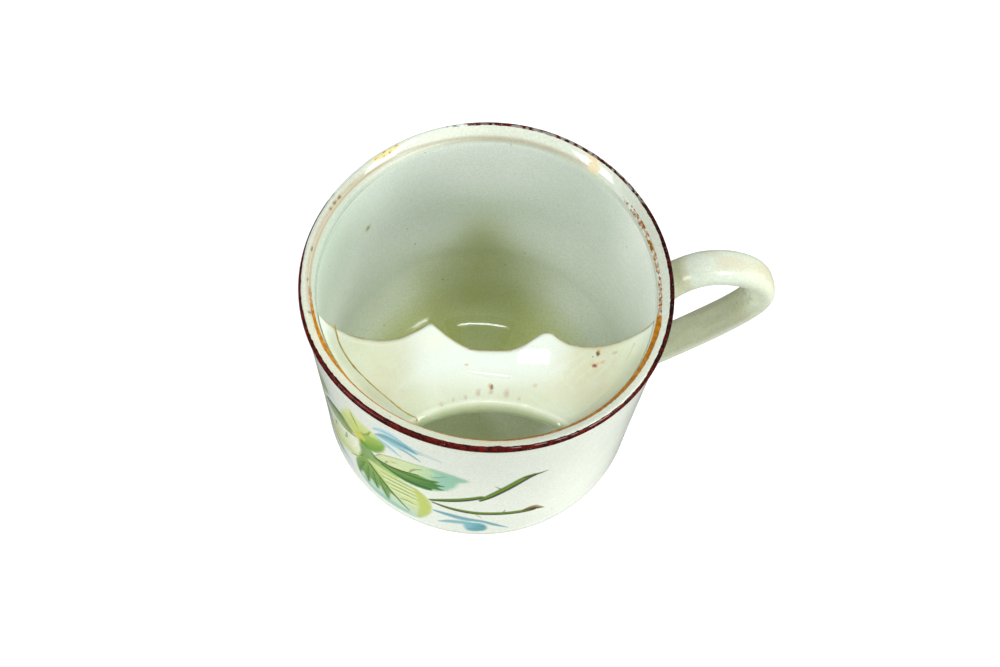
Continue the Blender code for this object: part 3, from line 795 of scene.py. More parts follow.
def build_rim_band():
    """The maroon line over the lip's outer edge: broad at the front, thin at the back, worn in places, with a
    painted highlight along it at the front.
    """
    theta = np.linspace(-math.pi, math.pi, LINE_STEPS, endpoint=False)[:, None]
    degrees = np.degrees(theta)
    inner = keyed([(-172, 3.7), (-155, 3.45), (-130, 3.2), (-110, 3.25), (-98, 3.3), (-94, 3.05), (-90, 3.4),
                   (-66, 3.65), (-45, 3.75), (-27, 3.4), (0, 3.3), (30, 3.3), (60, 3.2), (84, 3.25),
                   (100, 3.6), (120, 3.9), (160, 3.9)], theta)
    inner = inner + 0.14 * (noise(degrees * 0.9, 3.0) - 0.5) + 0.10 * (noise(degrees * 3.1, 9.0) - 0.5)
    outer = 5.2 + 0.35 * blend(-165, -140, degrees) * blend(-50, -85, degrees)
    outer += 0.12 * (noise(degrees * 0.6, 22.0) - 0.5)
    share = np.linspace(0, 1, 20)[None, :]
    across = inner + (outer - inner) * share
    piece = lip_strip("rim_band", theta, across, 0.055 * np.minimum(1, np.minimum(share, 1 - share) * 9))

    around = degrees + 0 * across
    worn = blend(76, 104, around) * blend(150, 134, around)
    flakes = clouds(around * 0.9, across * 2.2)
    lost = blend(0.62, 0.50, flakes + 0.55 - worn * 0.9) * (worn > 0.02)
    hair = blend(134, 142, around) * blend(166, 158, around)
    # A faint pale line along the band at the front is a painted highlight, drawn as lost enamel.
    streak = blend(0.10, 0.03, np.abs(across - 4.0 + 0.1 * np.sin(around * 0.12)))
    streak *= blend(-104, -92, around) * blend(-46, -58, around)
    warm = blend(18, 30, around) * blend(90, 78, around)
    warm *= blend(0.45, 0.62, noise(around * 1.1, across * 1.4))
    for mask in (worn**3, hair * blend(0.42, 0.60, np.abs(across - 4.6)),
                 0.3 * streak * blend(0.35, 0.6, noise(around * 0.5, 70.0)),
                 0.8 * bump(around, -158, 1.1) * bump(across, 3.2, 0.3), 0.30 * warm):
        lost = np.maximum(lost, mask)
    dark = 0.35 * blend(-60, -20, around) * blend(60, 10, around)
    dark += 0.5 * hair + 0.3 * clouds(around * 0.5, across)
    store_wear(piece, lost, dark, 0 * dark)
    material = overglaze("rim_maroon", (0.13, 0.006, 0.003), (0.008, 0.001, 0.001), 0.25, 0.35, GLAZE * 0.84)
    finish_piece(piece, material, "maroon_enamel", "rim_enamel_line")


def build_lip_gilt():
    """The gilt line low on the lip's slope: bright at the left and front right, specks elsewhere."""
    theta = np.linspace(-math.pi, math.pi, LINE_STEPS, endpoint=False)[:, None]
    degrees = np.degrees(theta)
    middle = keyed([(-178, 1.1), (-165, 0.9), (-152, 0.4), (-130, 0.12), (-110, 0.15), (-90, 0.4),
                    (-50, 0.70), (-25, 0.85), (-10, 0.7), (20, 0.6), (60, 0.5), (80, 0.4), (100, 0.8),
                    (125, 1.45), (140, 1.65), (154, 1.75), (168, 1.6)], theta)
    half = keyed([(-176, 0.6), (-162, 0.95), (-148, 0.5), (-125, 0.4), (-105, 0.55), (-90, 0.75), (-60, 0.85),
                  (-35, 1.0), (-20, 1.1), (-12, 0.6), (20, 0.65), (34, 0.5), (42, 0.05), (60, 0.03),
                  (104, 0.03), (118, 0.4), (150, 0.5)], theta)
    share = np.linspace(-1, 1, 16)[None, :]
    along = middle + half * share * (1 + 0.2 * (noise(degrees * 1.3, 50.0) - 0.5))
    piece = lip_strip("lip_gilt_band", theta, along, LINE_LIFT * np.minimum(1, (1 - np.abs(share)) * 6))

    around, cross = degrees + 0 * along, share + 0 * theta
    strength = keyed([(-180, 0.7), (-172, 0.95), (-156, 1.0), (-148, 0.85), (-125, 0.82), (-105, 0.85),
                      (-92, 0.92), (-40, 0.95), (-19, 1.0), (-15, 0.62), (24, 0.55), (34, 0.14), (60, 0.03),
                      (100, 0.01), (145, 0.03), (160, 0.06), (168, 0.3), (174, 0.45)], theta)
    lost = blend(-0.06, 0.10, clouds(around * 1.1, cross * 1.6 + 5) * 0.9 + 0.12 - strength)
    for mask in (1 - strength * 1.15 * (0.75 + 0.5 * clouds(around * 0.25, cross + 33)),
                 blend(0.82, 1.05, np.abs(cross) + 0.25 * (clouds(around * 2, cross) - 0.5))):
        lost = np.maximum(lost, mask)
    specks = blend(0.56, 0.68, noise(around * 1.5, cross * 1.2 + 90))
    specks *= blend(-18, -15, around) * blend(32, 24, around)
    dark = 0.9 * specks + 0.55 * blend(0.8, 0.35, strength) + 0.35 * clouds(around * 0.3, cross * 0.8)
    ghost = (blend(106, 124, around) + blend(-172, -178, around)) * (1 - cross**4)
    store_wear(piece, np.clip(lost - specks, 0, 1), dark, ghost)
    material = overglaze("worn_gilt", (0.58, 0.23, 0.004), (0.24, 0.09, 0.006), 0.30, 0.25, GLAZE * 0.74)
    finish_piece(piece, material, "gilt", "lip_gilt_line")


def build_guard_gilt():
    """The fine gilt lines on the guard beside the wall. The right one is nearly worn away."""
    gilt = overglaze("guard_gilt", (0.44, 0.34, 0.06), (0.26, 0.18, 0.03), 0.35, 0.25,
                     GLAZE * (0.74, 0.72, 0.58))
    for side, grain, knots, width, worn in (("left", -9, GILT_LEFT, 0.42, 0.0),
                                            ("right", 9, GILT_RIGHT, 0.36, 0.85)):
        line = curve(knots, 24)
        along = np.gradient(line, axis=0)
        along /= np.hypot(*along.T)[:, None]
        share = np.linspace(-1, 1, 9)
        steps = np.arange(len(line))
        reach = (width / 2 * (0.8 + 0.5 * noise(steps * 0.12, 12.0)))[:, None] * share
        x, y = line[:, :1] - along[:, 1:] * reach, line[:, 1:] + along[:, :1] * reach
        cup_x, cup_y, to_wall = to_cup(x, y)
        z = guard_height(x, y) + rolled(to_wall, *FILLET) + front_edge(y - crescent_edge(x), GUARD_THICK)
        z += LINE_LIFT * np.minimum(1, (1 - np.abs(share)) * 4) - 0.012
        piece = add_mesh("guard_gilt_" + side, np.stack([cup_x, cup_y, z], -1), *x.shape, False, False)
        flakes = clouds(steps[:, None] * 0.11 + grain, share[None, :] * 1.5)
        lost = blend(0.30, 0.55, flakes * 0.6 + worn * 0.5) + blend(0.7, 1.0, np.abs(share))[None, :]
        store_wear(piece, np.clip(lost, 0, 1), 0.3 * flakes, 0 * lost)
        finish_piece(piece, gilt, "gilt", "guard_gilt_line_" + side)


# ---------------------------------------------------------------- the handle


def handle_centre(steps):
    """Points and directions of the handle's centreline, evenly along each span, from the upper root."""
    t = np.linspace(0, 1, steps, endpoint=False)[:, None]
    points, directions = [], []
    for start, (arm, other_arm), end in zip(HANDLE_KNOTS, HANDLE_ARMS, HANDLE_KNOTS[1:]):
        p0, p1, p2, p3 = (np.array(p) for p in (start, arm, other_arm, end))
        points.append(p0 * (1 - t) ** 3 + 3 * p1 * t * (1 - t) ** 2 + 3 * p2 * t * t * (1 - t) + p3 * t**3)
        directions.append((p1 - p0) * (1 - t) ** 2 + 2 * (p2 - p1) * t * (1 - t) + (p3 - p2) * t * t)
    points.append(np.array([HANDLE_KNOTS[-1]], float))
    directions.append(np.array([np.subtract(HANDLE_KNOTS[-1], HANDLE_ARMS[-1][1])]))
    directions = np.vstack(directions)
    return np.vstack(points), directions / np.hypot(*directions.T)[:, None]


def build_handle():
    sides = 72
    centre, along = handle_centre(90)
    run = run_of(centre)
    turn = np.linspace(0, 2 * math.pi, sides, endpoint=False)
    power = 2 / HANDLE_SQUARENESS
    across = np.sign(np.cos(turn)) * np.abs(np.cos(turn)) ** power * HANDLE_WIDTH / 2
    out = np.sign(np.sin(turn)) * np.abs(np.sin(turn)) ** power * HANDLE_THICK / 2
    uneven = 1 + 0.025 * (noise(run * 0.09, 4.0) - 0.5)[:, None]
    flare = np.zeros(len(run))[:, None]
    for _ in range(3):
        grown_across, grown_out = across * (uneven + flare / 4.4), out * (uneven + flare / 2.9)
        x = centre[:, :1] - along[:, 1:] * grown_out
        z = centre[:, 1:] + along[:, :1] * grown_out
        y = np.broadcast_to(grown_across, x.shape)
        stand_off = np.hypot(x, y) - outer_r(z)
        flare = HANDLE_FLARE * np.exp(-np.maximum(stand_off + 0.4, 0) / FLARE_REACH)
    limit, radius = outer_r(z) - 1.1, np.hypot(x, y)
    push = np.where(radius < limit, limit / np.maximum(radius, 1), 1)
    last = (len(run) - 1) * sides
    caps = (range(sides)[::-1], range(last, last + sides))
    piece = add_mesh("loop_handle", np.stack([x * push, y * push, z], -1), len(run), sides, False, True, caps)
    around, distance = (np.broadcast_to(place, x.shape).ravel() for place in (turn, run[:, None]))
    colour_points(piece, "paint", handle_colours(around, distance, stand_off.ravel()))
    finish_piece(piece, painted_glaze("handle_glaze", smoothness=0.20, ripple=1.6), "handle_glaze", "handle",
                 "handle_slip_upper", "handle_slip_lower")


def handle_colours(around, distance, gap):
    """The handle's colours, with painted shade and shadow, by angle round its section, distance from the
    upper root and gap to the wall.
    """
    top = np.sin(around)
    # The olives are painted shade: near the roots, the rim's painted shadow at the upper root, along the
    # lower limb and round the outer curve, and the deeper one is a painted shadow on the lower limb's inner
    # side under the upper limb.
    olive, painted_shadow_olive = (0.50, 0.49, 0.28), (0.33, 0.34, 0.22)
    painted_root_shade = np.exp(-np.maximum(gap, 0) / 1.6) * (0.5 + 0.8 * clouds(distance * 0.5, around * 2))
    painted_rim_shadow = blend(16.6, 15.4, distance) * (0.8 + 0.4 * clouds(distance * 0.5, around))
    painted_lower_limb_shade = blend(44, 84, distance) * (0.6 + 0.8 * clouds(distance * 0.2, around))
    inner = blend(0.25, -0.55, top) * blend(43, 52, distance)
    inner *= 0.7 + 0.5 * clouds(distance * 0.25, 3 * np.cos(around))
    threads = blend(0.55, 0.8, noise(distance * 0.05, around * 4)) * blend(46, 56, distance)
    smudge = bump(distance, 46, 2.2) * bump(top, -0.95, 0.25)
    smudge *= blend(0.35, 0.65, noise(distance * 0.9, around * 5))
    painted_bend_shade = blend(24, 34, distance) * blend(60, 48, distance)
    wear = blend(0.55, 0.85, top + 0.35 * np.cos(around)) * blend(19, 24, distance) * blend(50, 40, distance)
    wear *= blend(0.20, 0.50, noise(distance * 0.30, np.cos(around) * 1.6))
    # The handle's glaze is painted darker than the cup's: painted shade.
    colour = np.tile(GLAZE * (0.74, 0.75, 0.69), (around.size, 1))
    for strength, mask, other in ((0.55, painted_root_shade, olive), (0.52, painted_rim_shadow, olive),
                                  (0.30, painted_lower_limb_shade, olive), (0.75, inner, painted_shadow_olive),
                                  (0.30, threads, paint(196, 184, 150)),
                                  (0.5, smudge, paint(90, 100, 76)), (0.24, painted_bend_shade, olive),
                                  (0.5, wear, paint(188, 180, 150))):
        colour = tinted(colour, strength * mask, other)
    return colour


# ---------------------------------------------------------------- the painted spray

# Its marks are in places read off the wall: arc length round it, height, and half width for a stroke.
LEAF_PALE, LEAF_LIGHT, LEAF_MID = paint(204, 218, 150), paint(156, 188, 88), paint(106, 150, 58)
LEAF_DEEP, TEAL = paint(68, 118, 38), paint(146, 194, 172)


def paint_bloom(canvas):
    """A pale bloom and its leaves, further round than the photograph shows."""
    x, y = BLOOM
    for turn in range(7):
        angle = 2 * math.pi * turn / 7 + 0.5
        cos, sin = math.cos(angle), math.sin(angle)
        middle = (x + 9.5 * cos, y + 8.5 * sin)
        outline = [(middle[0] + 7.5 * math.cos(a) * (1 + 0.12 * math.sin(3 * a + turn)),
                    middle[1] + 6.8 * math.sin(a)) for a in np.linspace(0, 2 * math.pi, 9)[:-1]]
        tip = (middle[0] + 6 * cos, middle[1] + 6 * sin)
        canvas.patch(outline, paint(240, 214, 206), paint(214, 150, 150), (tip, (x, y)), 0.85, 0.7, 0.25,
                     (sin, cos))
        fold = [(x + 3 * cos, y + 3 * sin, 0.5), (*middle, 0.7), (x + 15 * cos, y + 13.5 * sin, 0.1)]
        canvas.stroke(fold, paint(226, 178, 170), 0.5, fade=0.5)
    for turn in range(9):
        angle = 2 * math.pi * turn / 9
        end = (x + 3.2 * math.cos(angle), y + 3.2 * math.sin(angle), 0.35)
        canvas.stroke([(x, y, 0.6), end], paint(206, 176, 84), 0.8)
    vein = paint(70, 100, 38)
    for outline, colour, other, span, grain, middle_vein in (
            ([(-133, 46), (-128, 53), (-121, 55), (-117, 52), (-120, 47), (-127, 44)], LEAF_LIGHT, LEAF_DEEP,
             ((-122, 55), (-126, 44)), (0.9, 0.4), [(-132, 46.5, 0.3), (-125, 49.5, 0.25), (-118, 52, 0.1)]),
            ([(-168, 30), (-176, 27), (-181, 20), (-176, 18), (-169, 20), (-164, 25)], LEAF_MID, LEAF_PALE,
             ((-168, 30), (-178, 18)), (0.8, 0.6),
             [(-165, 29, 0.35), (-172, 24.5, 0.25), (-179, 19.5, 0.1)])):
        canvas.patch(outline, colour, other, span, 0.85, 0.7, 0.3, grain)
        canvas.stroke(middle_vein, vein, 0.7)


def paint_left_leaves(canvas):
    """Washes at the far left, a pale petal, a dark leaf, and a yellow-green tuft above them."""
    stroke, patch = canvas.stroke, canvas.patch
    # Washes at the far left.
    stroke([(-124, 38, 0.5), (-122.5, 32, 2.3), (-120.5, 24, 0.6)], paint(140, 168, 108), 0.8, 0.9, 0.4,
           LEAF_MID)
    stroke([(-121, 24, 0.8), (-117, 19, 1.9), (-114, 17, 0.6)], paint(150, 186, 120), 0.75, 0.9)
    stroke([(-115.5, 22, 0.9), (-113, 18, 1.9), (-110.5, 15.5, 0.5)], paint(202, 222, 228), 0.8, 0.9)
    stroke([(-121, 60, 0.3), (-118, 56, 1.5), (-113, 52, 0.5)], paint(196, 212, 212), 0.45, 0.9)

    # Pale petal below the left leaf.
    outline = [(-108, 43), (-105, 40), (-104, 36), (-105.3, 32.5), (-109, 28.5), (-113.5, 24.5),
               (-118.5, 21.5), (-120.3, 25), (-118.5, 31), (-117, 36), (-113, 41)]
    patch(outline, paint(228, 237, 200), paint(207, 220, 150), ((-110, 40), (-115, 25)), 0.92, 0.7, 0.2,
          (0.5, 0.85))
    stroke([(-106.5, 31, 0.4), (-112, 27, 1.7), (-119.5, 21.8, 0.5)], paint(208, 219, 146), 0.8, 0.8)
    stroke([(-110.7, 39, 0.25), (-111.2, 36, 0.55), (-112.2, 33.5, 0.15)], paint(132, 176, 118), 0.75)
    stroke([(-115.8, 37, 0.2), (-116.3, 35, 0.6), (-117, 32.5, 0.15)], paint(146, 182, 138), 0.65)
    stroke([(-107.5, 41, 0.3), (-107.2, 38, 0.6), (-109, 33, 0.2)], paint(240, 244, 220), 0.6)
    stroke([(-104.6, 36, 0.2), (-106.4, 31, 0.4), (-110.6, 25.8, 0.15)], paint(112, 150, 78), 0.8)

    # Dark leaf at the left.
    outline = [(-120.8, 41.5), (-118.6, 45), (-116, 47), (-112.5, 48.5), (-109.7, 48.8), (-107.8, 47.5),
               (-107.4, 45), (-109.3, 42.6), (-112.5, 40.6), (-115.5, 39.4), (-118.8, 39.8)]
    patch(outline, paint(104, 134, 66), paint(150, 178, 112), ((-113, 48), (-115, 40)), 0.95, 0.6, 0.3,
          (0.9, 0.35))
    stroke([(-120.5, 41.8, 0.3), (-117.6, 45.6, 0.9), (-113, 48, 1.1), (-108.6, 48.2, 0.5)],
           paint(74, 98, 42), 0.75, 0.7)
    stroke([(-113, 40.2, 0.2), (-109.5, 42, 0.45), (-106.6, 43.8, 0.3)], paint(104, 112, 58), 0.85)

    # Yellow-green tuft at the top.
    outline = [(-107.3, 60), (-104.5, 58.2), (-101, 57.6), (-98, 56.2), (-97, 53), (-98, 48), (-100.5, 45),
               (-104, 43.3), (-108, 45.5), (-110.8, 48.8), (-111, 51.5), (-109.3, 56)]
    patch(outline, paint(206, 218, 132), paint(170, 194, 84), ((-106, 60), (-104, 46)), 0.85, 1.1, 0.35,
          (0.2, 0.95))
    outline = [(-103.8, 44), (-104.6, 48), (-103.4, 51), (-101.5, 53), (-99, 54.6), (-97.1, 55.2),
               (-96.9, 51.5), (-98.2, 47.5), (-100.6, 44)]
    patch(outline, LEAF_MID, LEAF_LIGHT, ((-98.5, 47), (-103, 52)), 0.9, 0.5, 0.3, (0.5, 0.85))
    stroke([(-107.2, 59.3, 0.2), (-106.4, 54, 0.9), (-105, 46, 1.3)], paint(196, 208, 112), 0.7, 0.8)
    stroke([(-107, 58.8, 0.2), (-106, 55.5, 0.4), (-104.9, 52.3, 0.15)], paint(128, 148, 76), 0.75)
    stroke([(-100.7, 57, 0.15), (-101.8, 53.5, 0.4), (-103.8, 50.2, 0.15)], paint(120, 146, 66), 0.7)
    stroke([(-103.4, 51.8, 0.2), (-105.4, 48.4, 0.5), (-105.8, 45, 0.3)], paint(150, 176, 84), 0.6)
    stroke([(-110.6, 51, 0.4), (-108.5, 48.5, 1.1), (-105.5, 45.5, 0.9)], paint(214, 219, 140), 0.6, 0.8)
    canvas.spot(-104.9, 47.4, 2.0, paint(206, 204, 88), 0.85, 1.3, 1.4)


def paint_broad_leaf(canvas):
    """The neck that joins the leaves, and the broad leaf with a frilled dark edge below it."""
    stroke, patch = canvas.stroke, canvas.patch
    lemon = paint(186, 202, 100)
    outline = [(-104.5, 46), (-101.5, 44), (-100.3, 41), (-96.5, 39.5), (-93.5, 37.5), (-94.5, 34.8),
               (-98, 32.5), (-102, 30), (-106.3, 31), (-105.4, 36), (-105.4, 41)]
    patch(outline, LEAF_MID, paint(160, 190, 104), ((-104, 38), (-95, 36)), 0.95, 0.7, 0.35, (0.35, 0.9))
    outline = [(-103, 35), (-107.6, 29), (-108.7, 22), (-107.8, 18), (-104.5, 15.4), (-100, 14), (-94, 13.4),
               (-89.5, 13.3), (-87, 15), (-84.9, 20), (-84.4, 26), (-85.6, 31), (-88, 34.2), (-92, 35.8),
               (-98, 36.2)]
    patch(outline, LEAF_PALE, paint(186, 212, 194), ((-94, 27), (-99, 16)), 0.95, 0.45, 0.25, (0.9, 0.3))
    outline = [(-103.6, 34.5), (-107.4, 29), (-108.5, 23), (-107.6, 18.8), (-106, 22), (-104.3, 17.4),
               (-103, 22), (-100.9, 18.4), (-99.6, 22.3), (-97.3, 16), (-96.6, 21.5), (-95.2, 21.8),
               (-98, 26.5), (-101, 30.5)]
    patch(outline, paint(112, 152, 66), paint(98, 142, 70), ((-103, 32), (-103, 19)), 0.92, 0.45, 0.35,
          (0.15, 0.95))
    for start, end, width in (((-104.5, 31), (-107.8, 19.3), 0.7), ((-103.4, 30), (-104.4, 17.3), 0.75),
                              ((-101.8, 29), (-101, 18.2), 0.7), ((-99.6, 26.5), (-97.3, 15.8), 0.65)):
        middle = (0.5 * start[0] + 0.5 * end[0] - 0.4, 0.5 * start[1] + 0.5 * end[1])
        stroke([(*start, 0.3), (*middle, width), (*end, 0.12)], paint(84, 130, 52), 0.7, 0.6, 0.22, LEAF_MID)
    stroke([(-107.3, 18, 0.5), (-103.5, 15.9, 1.2), (-97, 15.2, 1.4), (-91.5, 14.8, 0.7)], TEAL, 0.7, 0.9)
    stroke([(-104.4, 34, 0.6), (-101.5, 31, 1.5), (-97.5, 26, 0.8)], paint(140, 172, 84), 0.5, 0.9)
    for height, left, right, drop in ((34.0, -98.6, -89.0, 0.4), (31.7, -98.6, -88.4, 0.9),
                                      (29.2, -97.4, -88.4, 0.8), (26.8, -96.2, -88.0, 0.5),
                                      (22.8, -93.2, -89.0, 0.4)):
        middle = (left + 0.55 * (right - left), height + 0.3)
        stroke([(left, height - drop, 0.3), (*middle, 0.5), (right, height - 0.1, 0.2)], paint(134, 164, 84),
               0.7, 0.6)
        stroke([(left + 0.6, height - drop - 1.1, 0.2), (middle[0], height - 0.9, 0.5),
                (right, height - 1.2, 0.2)], paint(226, 234, 190), 0.6, 0.8)
    stroke([(-88.6, 34, 0.7), (-86.7, 29, 1.6), (-86.2, 22, 1.7), (-88, 15, 0.6)], lemon, 0.8, 0.7)
    stroke([(-102.6, 32.6, 0.5), (-98, 26.2, 0.45), (-94, 20.6, 0.45), (-90.8, 16.2, 0.2)],
           paint(70, 108, 48), 0.9, 0.4, 0.2)


def paint_right_leaf(canvas):
    """The leaf at the right: pale, bluish at its tip, and dark along its lower edge."""
    stroke, patch = canvas.stroke, canvas.patch
    outline = [(-100.6, 41.2), (-99.4, 43.8), (-97.2, 46.8), (-94, 49.4), (-90, 51.2), (-85, 52.2),
               (-80.5, 51.7), (-77.5, 50.2), (-75.4, 48.4), (-77.6, 46.6), (-78.8, 43), (-81, 39.6),
               (-84, 37.2), (-88, 36.4), (-93, 36.8), (-98, 38.6)]
    patch(outline, paint(200, 216, 160), paint(168, 206, 164), ((-92, 48), (-80, 47)), 0.95, 0.4, 0.2,
          (0.9, 0.35))
    outline = [(-84.6, 51.8), (-80.5, 51.4), (-77.6, 50), (-75.6, 48.4), (-77.8, 46.4), (-79, 43),
               (-81.2, 40), (-83.6, 41), (-82.6, 44.5), (-84, 46.5), (-82.4, 49)]
    patch(outline, paint(140, 186, 166), TEAL, ((-78, 49), (-83, 44)), 0.7, 1.4, 0.3, (0.7, 0.7))
    outline = [(-101, 40.4), (-96, 41.7), (-91.5, 43.4), (-88, 44.8), (-85, 44.3), (-82.4, 44.6),
               (-83.3, 42.8), (-80.9, 42.4), (-82.8, 40.9), (-81.3, 39.4), (-84, 38.6), (-84.6, 37.2),
               (-88, 36.6), (-93, 37), (-98, 38.6)]
    patch(outline, LEAF_DEEP, paint(100, 146, 66), ((-87, 38), (-92, 43)), 0.95, 0.35, 0.3, (0.95, 0.2))
    stroke([(-98, 39.4, 0.5), (-91, 38.2, 0.9), (-84.5, 38.2, 0.4)], paint(52, 106, 30), 0.6, 0.8)
    stroke([(-96, 41.2, 0.3), (-90, 42.4, 0.7), (-84, 43.2, 0.3)], paint(64, 112, 38), 0.6, 0.8)
    stroke([(-100.2, 42, 0.2), (-98, 46, 0.3), (-93, 49.8, 0.25), (-86, 52, 0.15)], paint(160, 162, 118), 0.7)
    stroke([(-101.2, 41.8, 0.35), (-99.2, 40.8, 0.45), (-95, 41.7, 0.4), (-87.8, 44.9, 0.25)],
           paint(84, 86, 40), 0.9, 0.4, 0.2)
    stroke([(-97, 41.8, 0.2), (-96.3, 44, 0.35), (-93.8, 46.2, 0.15)], paint(134, 152, 92), 0.7)
    stroke([(-90.2, 44.2, 0.2), (-89, 47.2, 0.35), (-86.6, 49.6, 0.15)], paint(122, 152, 92), 0.75)
    stroke([(-84.4, 46, 0.15), (-82.4, 47.8, 0.3), (-80.4, 49.4, 0.1)], paint(112, 158, 146), 0.6)
    stroke([(-97.4, 46.2, 0.4), (-95, 44.2, 0.8), (-92, 44.4, 0.3)], paint(222, 220, 176), 0.5, 0.8)


def paint_blue(canvas):
    """A blue fan above the leaves, and blue strokes below the stems."""
    stroke, patch = canvas.stroke, canvas.patch
    sky, sky_deep = paint(140, 190, 198), paint(94, 158, 168)
    sky_pale, sky_mid = paint(150, 194, 202), paint(124, 178, 186)
    for points, colour, strength in (
            ([(-99.6, 60.6, 0.3), (-97.4, 62.8, 0.9), (-94, 63.4, 0.9), (-90, 61.2, 0.7), (-86, 59.4, 0.3),
              (-81.8, 58.2, 0.1)], sky, 0.95),
            ([(-99, 57.8, 0.4), (-95.5, 60.2, 1.7), (-91.5, 60.2, 1.5), (-88, 58.6, 0.4)], sky_deep, 0.9),
            ([(-98.6, 58, 0.5), (-94.6, 58.2, 1.2), (-90.4, 57.2, 0.8), (-87, 54.8, 0.15)], sky, 0.95),
            ([(-99.4, 56, 0.3), (-96.6, 55.2, 0.9), (-94, 53.6, 0.7), (-92, 51.8, 0.15)], sky_pale, 0.95),
            ([(-99.4, 61.6, 0.2), (-96, 64.6, 0.5), (-91.6, 65.6, 0.2)], paint(184, 210, 222), 0.8),
            ([(-83.4, 23.6, 0.6), (-80, 23, 1.1), (-75.5, 21.6, 1.3), (-71, 20.4, 0.8), (-67.5, 17.6, 0.7),
              (-63.6, 14.2, 0.15)], sky_deep, 0.9),
            ([(-82.4, 16.4, 0.3), (-79, 18.2, 1.2), (-75, 18.6, 1.2), (-71.6, 17.8, 0.5)], sky_mid, 0.9)):
        stroke(points, colour, strength, 0.6, 0.3, colour * 1.1)
    outline = [(-75.4, 18), (-72.4, 19.2), (-70.4, 18), (-69.5, 15.4), (-70.4, 13.2), (-74, 13), (-75.2, 15)]
    patch(outline, paint(74, 152, 162), paint(124, 184, 190), ((-71, 15), (-75, 18)), 0.9, 0.6, 0.3)
    stroke([(-93, 60.4, 0.12), (-89.5, 60, 0.2), (-86.6, 58.8, 0.1)], paint(96, 124, 140), 0.7)
    stroke([(-92.6, 57.4, 0.12), (-90, 56.6, 0.2), (-87, 54.2, 0.1)], paint(110, 116, 120), 0.75)
    stroke([(-88.2, 61.2, 0.1), (-84.6, 60, 0.15), (-81.8, 58.4, 0.08)], paint(140, 160, 168), 0.6)


def paint_stems(canvas):
    """Two thorny stems, dark with a green upper side, and their tips."""
    stroke = canvas.stroke
    brown, bark = paint(58, 34, 10), paint(108, 142, 30)
    for line, shade in (
            ([(-84.6, 30.4, 0.45), (-80.4, 33.0, 0.95), (-75.6, 35.6, 1.1), (-71.6, 38.0, 0.95)], brown),
            ([(-71.8, 35.6, 0.5), (-69.6, 38.6, 1.15), (-65.5, 44, 1.35), (-61.5, 49.2, 1.4),
              (-59.4, 50.6, 1.0)], brown),
            ([(-84, 29.2, 0.35), (-79, 27.8, 0.85), (-73, 26.6, 1.0), (-67, 25.9, 1.05), (-61, 25, 1.1),
              (-57.4, 24.6, 1.2)], paint(72, 34, 14))):
        stroke(line, shade, 1.0, 0.35, 0.15)
        stroke([(across - 0.18, up + 0.4, 0.62 * half) for across, up, half in line], bark, 0.95, 0.5, 0.3)
    stroke([(-61.5, 50, 0.4), (-58.6, 50.7, 0.65), (-55.8, 51.2, 0.1)], paint(84, 92, 40), 0.95, 0.3)
    stroke([(-67, 43.6, 0.3), (-68.4, 45.6, 0.12)], paint(96, 112, 50), 0.9)
    stroke([(-60, 25.8, 0.6), (-58, 26, 1.4), (-56.4, 24.8, 1.0), (-54.3, 23, 0.15)], paint(146, 128, 58),
           0.95, 0.3, 0.2, paint(70, 38, 24))
    stroke([(-65.6, 26.2, 0.25), (-65.2, 28.2, 0.1)], paint(96, 120, 50), 0.9)
    stroke([(-73, 25.8, 0.2), (-72, 24.6, 0.3), (-71, 22.8, 0.08)], paint(168, 182, 110), 0.6)


def build_spray():
    low, high = SPRAY_HEIGHTS
    far, near, end = SPRAY_SPAN
    across = np.concatenate([np.arange(far, near, 0.5), np.arange(near, end, 0.25)])
    up = np.linspace(low, high, 226)
    s, z = np.meshgrid(across, up, indexing="ij")
    theta = s / SPRAY_R
    edge = np.minimum(np.minimum(s - across[0], across[-1] - s), np.minimum(z - low, high - z))
    r = outer_r(z) + warp(theta, z) + 0.07 * np.minimum(edge / 1.5, 1) - 0.035
    piece = add_mesh("painted_spray", turned(r, theta, z), *s.shape, False, False)
    canvas = Canvas(s, z, outside_glaze_and_shade(z), 0.6)
    for paint_part in (paint_bloom, paint_left_leaves, paint_broad_leaf, paint_right_leaf,
                       paint_blue, paint_stems):
        paint_part(canvas)
    colour_points(piece, "paint", canvas.colour)
    finish_piece(piece, painted_glaze("painted_glaze"), "body_glaze")


# ---------------------------------------------------------------- stage, lights and camera


def build_stage():
    mesh = bpy.data.meshes.new("floor")
    corners = [(x * FLOOR_HALF, y * FLOOR_HALF, 0) for x, y in ((-1, -1), (1, -1), (1, 1), (-1, 1))]
    mesh.from_pydata(corners, [], [(0, 1, 2, 3)])
    floor = bpy.data.objects.new("floor", mesh)
    bpy.context.scene.collection.objects.link(floor)
    material, tree, shader = new_material("pale_floor")
    mottle = grain_of(tree, add_node(tree, "TexCoord").outputs["Object"], 6.0, 3.0, 0.5)
    tree.links.new(mixed(tree, mottle, (0.60, 0.60, 0.60), (0.64, 0.64, 0.64)), shader.inputs["Base Color"])
    for name, value in (("Roughness", 0.9), ("Specular IOR Level", 0.1), ("Emission Color", (1, 1, 1, 1)),
                        ("Emission Strength", FLOOR_GLOW)):
        shader.inputs[name].default_value = value
    mesh.materials.append(material)
    floor.visible_diffuse = False
    floor.visible_glossy = False
    floor.visible_shadow = False

    world = bpy.data.worlds.new("studio")
    bpy.context.scene.world = world
    world.use_nodes = True
    tree = world.node_tree
    direction = add_node(tree, "TexCoord").outputs["Generated"]
    height = add_node(tree, "SeparateXYZ", Vector=direction).outputs["Z"]
    background = tree.nodes["Background"].inputs
    tree.links.new(ramp(tree, height, -0.3, 0.2, WORLD_BELOW, WORLD_ABOVE), background["Strength"])
    background["Color"].default_value = (1.0, 1.0, 1.0, 1)


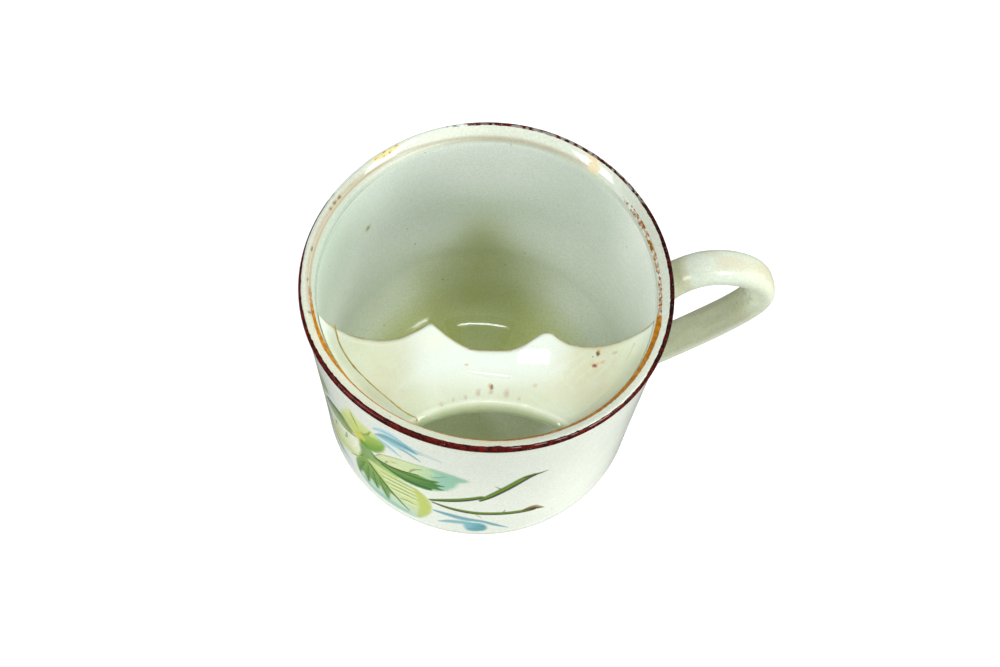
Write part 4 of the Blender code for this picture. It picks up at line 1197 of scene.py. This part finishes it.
def soft_light(name, azimuth, elevation, distance, width, height, radiance, glossy=True, spin=0.0):
    """A rectangular soft light aimed at the cup, of a given brightness seen from the cup."""
    data = bpy.data.lights.new(name, "AREA")
    data.shape = "RECTANGLE"
    data.size, data.size_y = width, height
    data.energy = radiance * math.pi * width * height
    light = bpy.data.objects.new(name, data)
    a, e = math.radians(azimuth), math.radians(elevation)
    towards = Vector((math.cos(a) * math.cos(e), math.sin(a) * math.cos(e), math.sin(e)))
    light.location = Vector((AXIS_X * MM, 0, 0.06)) + towards * distance
    light.rotation_mode = "QUATERNION"
    light.rotation_quaternion = towards.to_track_quat("Z", "Y") @ Quaternion((0, 0, 1), math.radians(spin))
    light.visible_glossy = glossy
    bpy.context.scene.collection.objects.link(light)


def build_lights():
    """Two windows, broad fills that leave no reflection, and small lights that the highlights mirror."""
    soft_light("soft_right", -32, 51, 0.9, 0.20, 0.40, 11.0)
    soft_light("soft_left", -159, 41, 0.9, 0.28, 0.32, 11.0)
    soft_light("soft_front", -88, 42, 1.2, 0.9, 0.5, 1.9, glossy=False)
    soft_light("soft_side_right", -5, 14, 1.2, 0.7, 0.6, 11.5, glossy=False)
    soft_light("soft_side_left", -172, 14, 1.2, 0.7, 0.6, 3.0, glossy=False)
    soft_light("soft_bounce", 0, -90, 0.31, 2.4, 2.4, BOUNCE, glossy=False)
    soft_light("soft_top", 73.9, 63.27, 1.0, 0.034, 0.018, 45.0)
    soft_light("soft_pane", 74.6, 64.04, 1.0, 0.034, 0.016, 40.0)
    soft_light("soft_over", 61, 87.6, 1.0, 0.23, 0.035, 22.0, spin=25)


def build_camera():
    """The photograph's long lens, above and in front, turned from the handle's line and a little rolled."""
    e, roll = CAMERA_ELEVATION, CAMERA_ROLL
    back = Vector((0, -math.cos(e), math.sin(e)))
    level, up = Vector((1, 0, 0)), Vector((0, math.sin(e), math.cos(e)))
    right = level * math.cos(roll) + up * math.sin(roll)
    top = up * math.cos(roll) - level * math.sin(roll)
    turn = Matrix.Rotation(CAMERA_TURN, 3, "Z")
    back, right, top, place = (turn @ v for v in (back, right, top, Vector(CAMERA_PLACE)))
    place.x += AXIS_X
    data = bpy.data.cameras.new("camera")
    data.sensor_width = 36.0
    data.lens = CAMERA_LENS
    data.clip_start, data.clip_end = 0.05, 20.0
    camera = bpy.data.objects.new("camera", data)
    camera.matrix_world = Matrix.Translation(place * MM) @ Matrix((right, top, back)).transposed().to_4x4()
    bpy.context.scene.collection.objects.link(camera)
    bpy.context.scene.camera = camera


build_body()
build_guard()
build_rim_band()
build_lip_gilt()
build_guard_gilt()
build_handle()
build_spray()
build_stage()
build_lights()
build_camera()
bpy.context.scene.view_settings.view_transform = "Standard"
